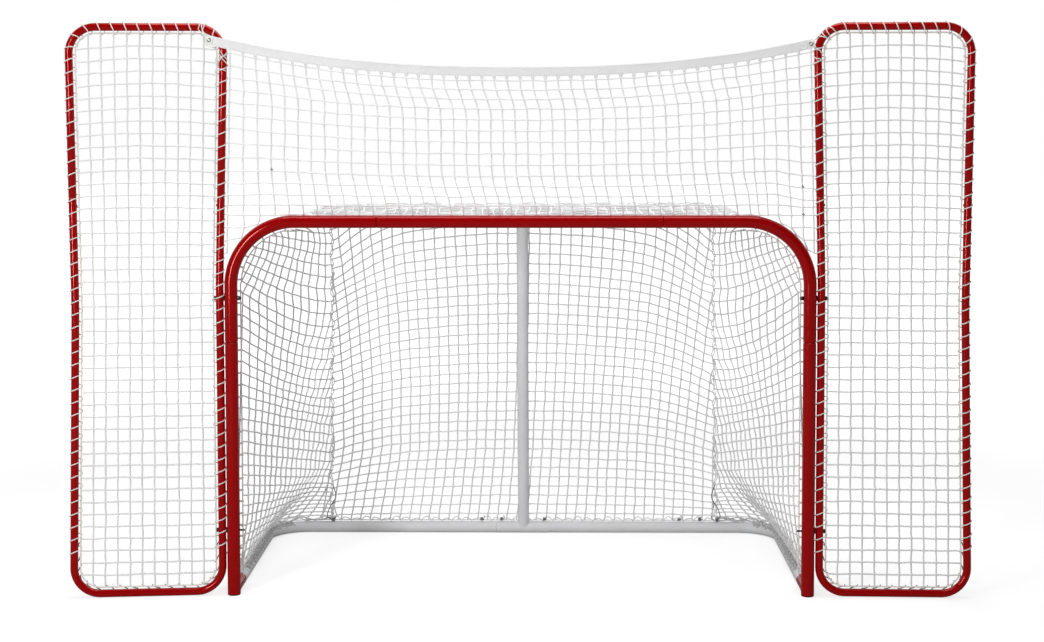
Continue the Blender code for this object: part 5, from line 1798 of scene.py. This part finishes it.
def tieLines():
    # knots of cord on the back bar, and the loops at the right ridge's foot, drawn dark as painted
    # shadow
    setup, thick = hemSetup, hemSetup["tie"]
    lines = []
    for x in setup["ties"]:
        place = (x, goalNet["ridgeFoot"][1] - 0.004, 0.050)
        lines.append(ringLine(place, (1, 0, 0.2), 0.0055, setup["tieTurns"], thick, 0.016))
    footX, footY = goalNet["ridgeFoot"]
    for side in (-1, 1):
        foot = ridgePoint(0.20)
        loop = [(foot.x, foot.y, 0.19), (foot.x - 0.012, foot.y - 0.004, 0.145),
                (foot.x + 0.010, foot.y - 0.006, 0.105), (foot.x + 0.020, foot.y - 0.005, 0.072),
                (footX - 0.004, footY - 0.006, 0.048), (footX - 0.020, footY - 0.005, 0.060),
                (footX - 0.012, footY - 0.004, 0.095), (foot.x - 0.003, foot.y - 0.002, 0.130)]
        loop = [Vector((side * x, y, z)) for x, y, z in loop]
        lines.append(openLine(smoothPath(loop, 6)))
        place = (side * (footX - 0.004), footY - 0.004, 0.049)
        lines.append(ringLine(place, (1, 0, 0.1), 0.006, 3.2, thick, -0.012))
    for side, i, j in ((1, 45, 10), (1, 45, 13), (-1, 3, 9)):     # tied knots in the net above
        knot = grid[i, j]
        lines.append(ringLine(knot, (0.2, 0.1, 1), 0.0030, 1.6, thick, 0.009))
    return lines


def shelfLines():
    # cord laced round the shelf behind the crossbar, and the slack net lying on it
    setup, tubes = hemSetup, tubeSetup
    radius = tubes["rear"] / 2 + setup["cord"] / 2 + 0.0004
    corners = []
    for side in (-1, 1):
        corner = Vector((side * tubes["shelfHalf"], tubes["shelfDepth"], tubes["barZ"]))
        start = Vector((side * tubes["shelfHalf"], 0.10, tubes["barZ"]))
        corners += [start, corner] if side < 0 else [corner, start]
    path = filletPath(corners, [tubes["shelfCorner"]] * 2, 12)
    lengths = pathLengths(path)
    line, at = [], 0.02
    while at < lengths[-1] - 0.02:
        angle = 2 * math.pi * at / setup["shelfPitch"]
        here = alongPath(path, lengths, at)
        along = (alongPath(path, lengths, at + 0.004) - here).normalized()
        out = along.cross(Vector((0, 0, 1)))
        line.append(here + Vector((0, 0, 1)) * radius * math.cos(angle)
                    + out * radius * math.sin(angle))
        at += setup["shelfPitch"] / 12
    lines = [openLine(line)]
    front = tubes["shelfDepth"] - 0.012
    for strand in range(3):                     # slack cord lying on the back bar
        span = (-0.60, 0.64) if strand else (0.34, 0.66)
        rest = [Vector((x, front - 0.004 * strand, tubes["barZ"] + setup["onShelf"]))
                for x in np.linspace(*span, 30)]
        lines.append(wavyLine(rest, 0.006, 0.006, 60 + strand))
    return lines


def spanEdgeLines():
    # cord down each side of the net above the crossbar, tied to the side frame's leg
    lines = []
    for side in (-1, 1):
        column = 0 if side < 0 else spanNet["columns"]
        knots = [grid[column, j] for j in range(spanNet["rows"] + spanNet["extraRows"] + 1)
                 if (column, j) in grid]
        lines.append(openLine([knots[0] + Vector((0, 0, 0.014))] + knots))
        for knot in knots:
            rim = side * (abs(legX(side, knot.z)) - sideFrame["tube"] / 2 - 0.0012)
            tilt = draw.uniform(-0.004, 0.004)
            lines.append(openLine([knot + Vector((-side * 0.0025, 0.002, 0.001)),
                                   Vector((rim, -0.001, knot.z + tilt)),
                                   knot + Vector((-side * 0.0025, -0.002, -0.001))]))
    return lines


def edgeSpot(at, inset):
    # a place beside the side frame's foot: at runs from the outer leg round to the inner one
    setup = sideFrame
    low, reach = setup["foot"], setup["cornerRadius"]
    half = math.pi / 2 * reach
    rise, run = hemSetup["footRise"], setup["outerFoot"] - 2 * reach
    if at < rise:
        out, height = setup["outerFoot"] - inset, low + reach + rise - at
    elif at < rise + half:
        turn = (at - rise) / reach
        out = setup["outerFoot"] - reach + (reach - inset) * math.cos(turn)
        height = low + reach - (reach - inset) * math.sin(turn)
    elif at < rise + half + run:
        out, height = setup["outerFoot"] - reach - (at - rise - half), low + inset
    elif at < rise + 2 * half + run:
        turn = (at - rise - half - run) / reach
        out = reach - (reach - inset) * math.sin(turn)
        height = low + reach - (reach - inset) * math.cos(turn)
    else:
        out, height = inset, low + reach + at - rise - 2 * half - run
    return out, height


def barLoops(side):
    # slack loops that hold the side frame's net along its foot, behind the bare bar, drawn dark as
    # painted shadow
    rise, reach = hemSetup["footRise"], sideFrame["cornerRadius"]
    total = 2 * rise + math.pi * reach + sideFrame["outerFoot"] - 2 * reach
    lines, at = [], 0.012
    while at < total - 0.03:
        pitch = hemSetup["loopPitch"] * draw.uniform(0.85, 1.15)
        drop = hemSetup["loopDrop"] + draw.uniform(-0.002, 0.003)
        # places along the foot, inset from it and forward of it
        shape = ((0.0, 0.0255, -0.0030), (0.006, drop + 0.0025, -0.0045),
                 (0.017, drop - 0.001, -0.0035), (0.024, 0.0110, -0.0100), (0.027, 0.0, -0.0150))
        line = [framePoint(side, *edgeSpot(at + step, inset), forward)
                for step, inset, forward in shape]
        lines.append(openLine(smoothPath(line, 3)))
        at += pitch
    return lines


hem, gathered = hemLines()
addPiece("baseHem", roundMesh(hem, hemSetup["cord"], 6), "netTwine")
# the gathered strands are drawn darker as painted shade
addPiece("baseGathers", roundMesh(gathered, hemSetup["gather"], 6), "shadedTwine")
addPiece("barTies", roundMesh(tieLines(), hemSetup["tie"], 6), "shadowTwine")
# the shelf's lacing is drawn in the lighter twine as painted light
addPiece("shelfLacing", roundMesh(shelfLines(), hemSetup["cord"], 6), "litTwine")
addPiece("spanEdge", roundMesh(spanEdgeLines(), hemSetup["edge"], 6), "netTwine")
for label, side in bothSides:
    addPiece(label + "BarLoops", roundMesh(barLoops(side), hemSetup["edge"], 6), "shadowTwine")
print("hems and ties made")
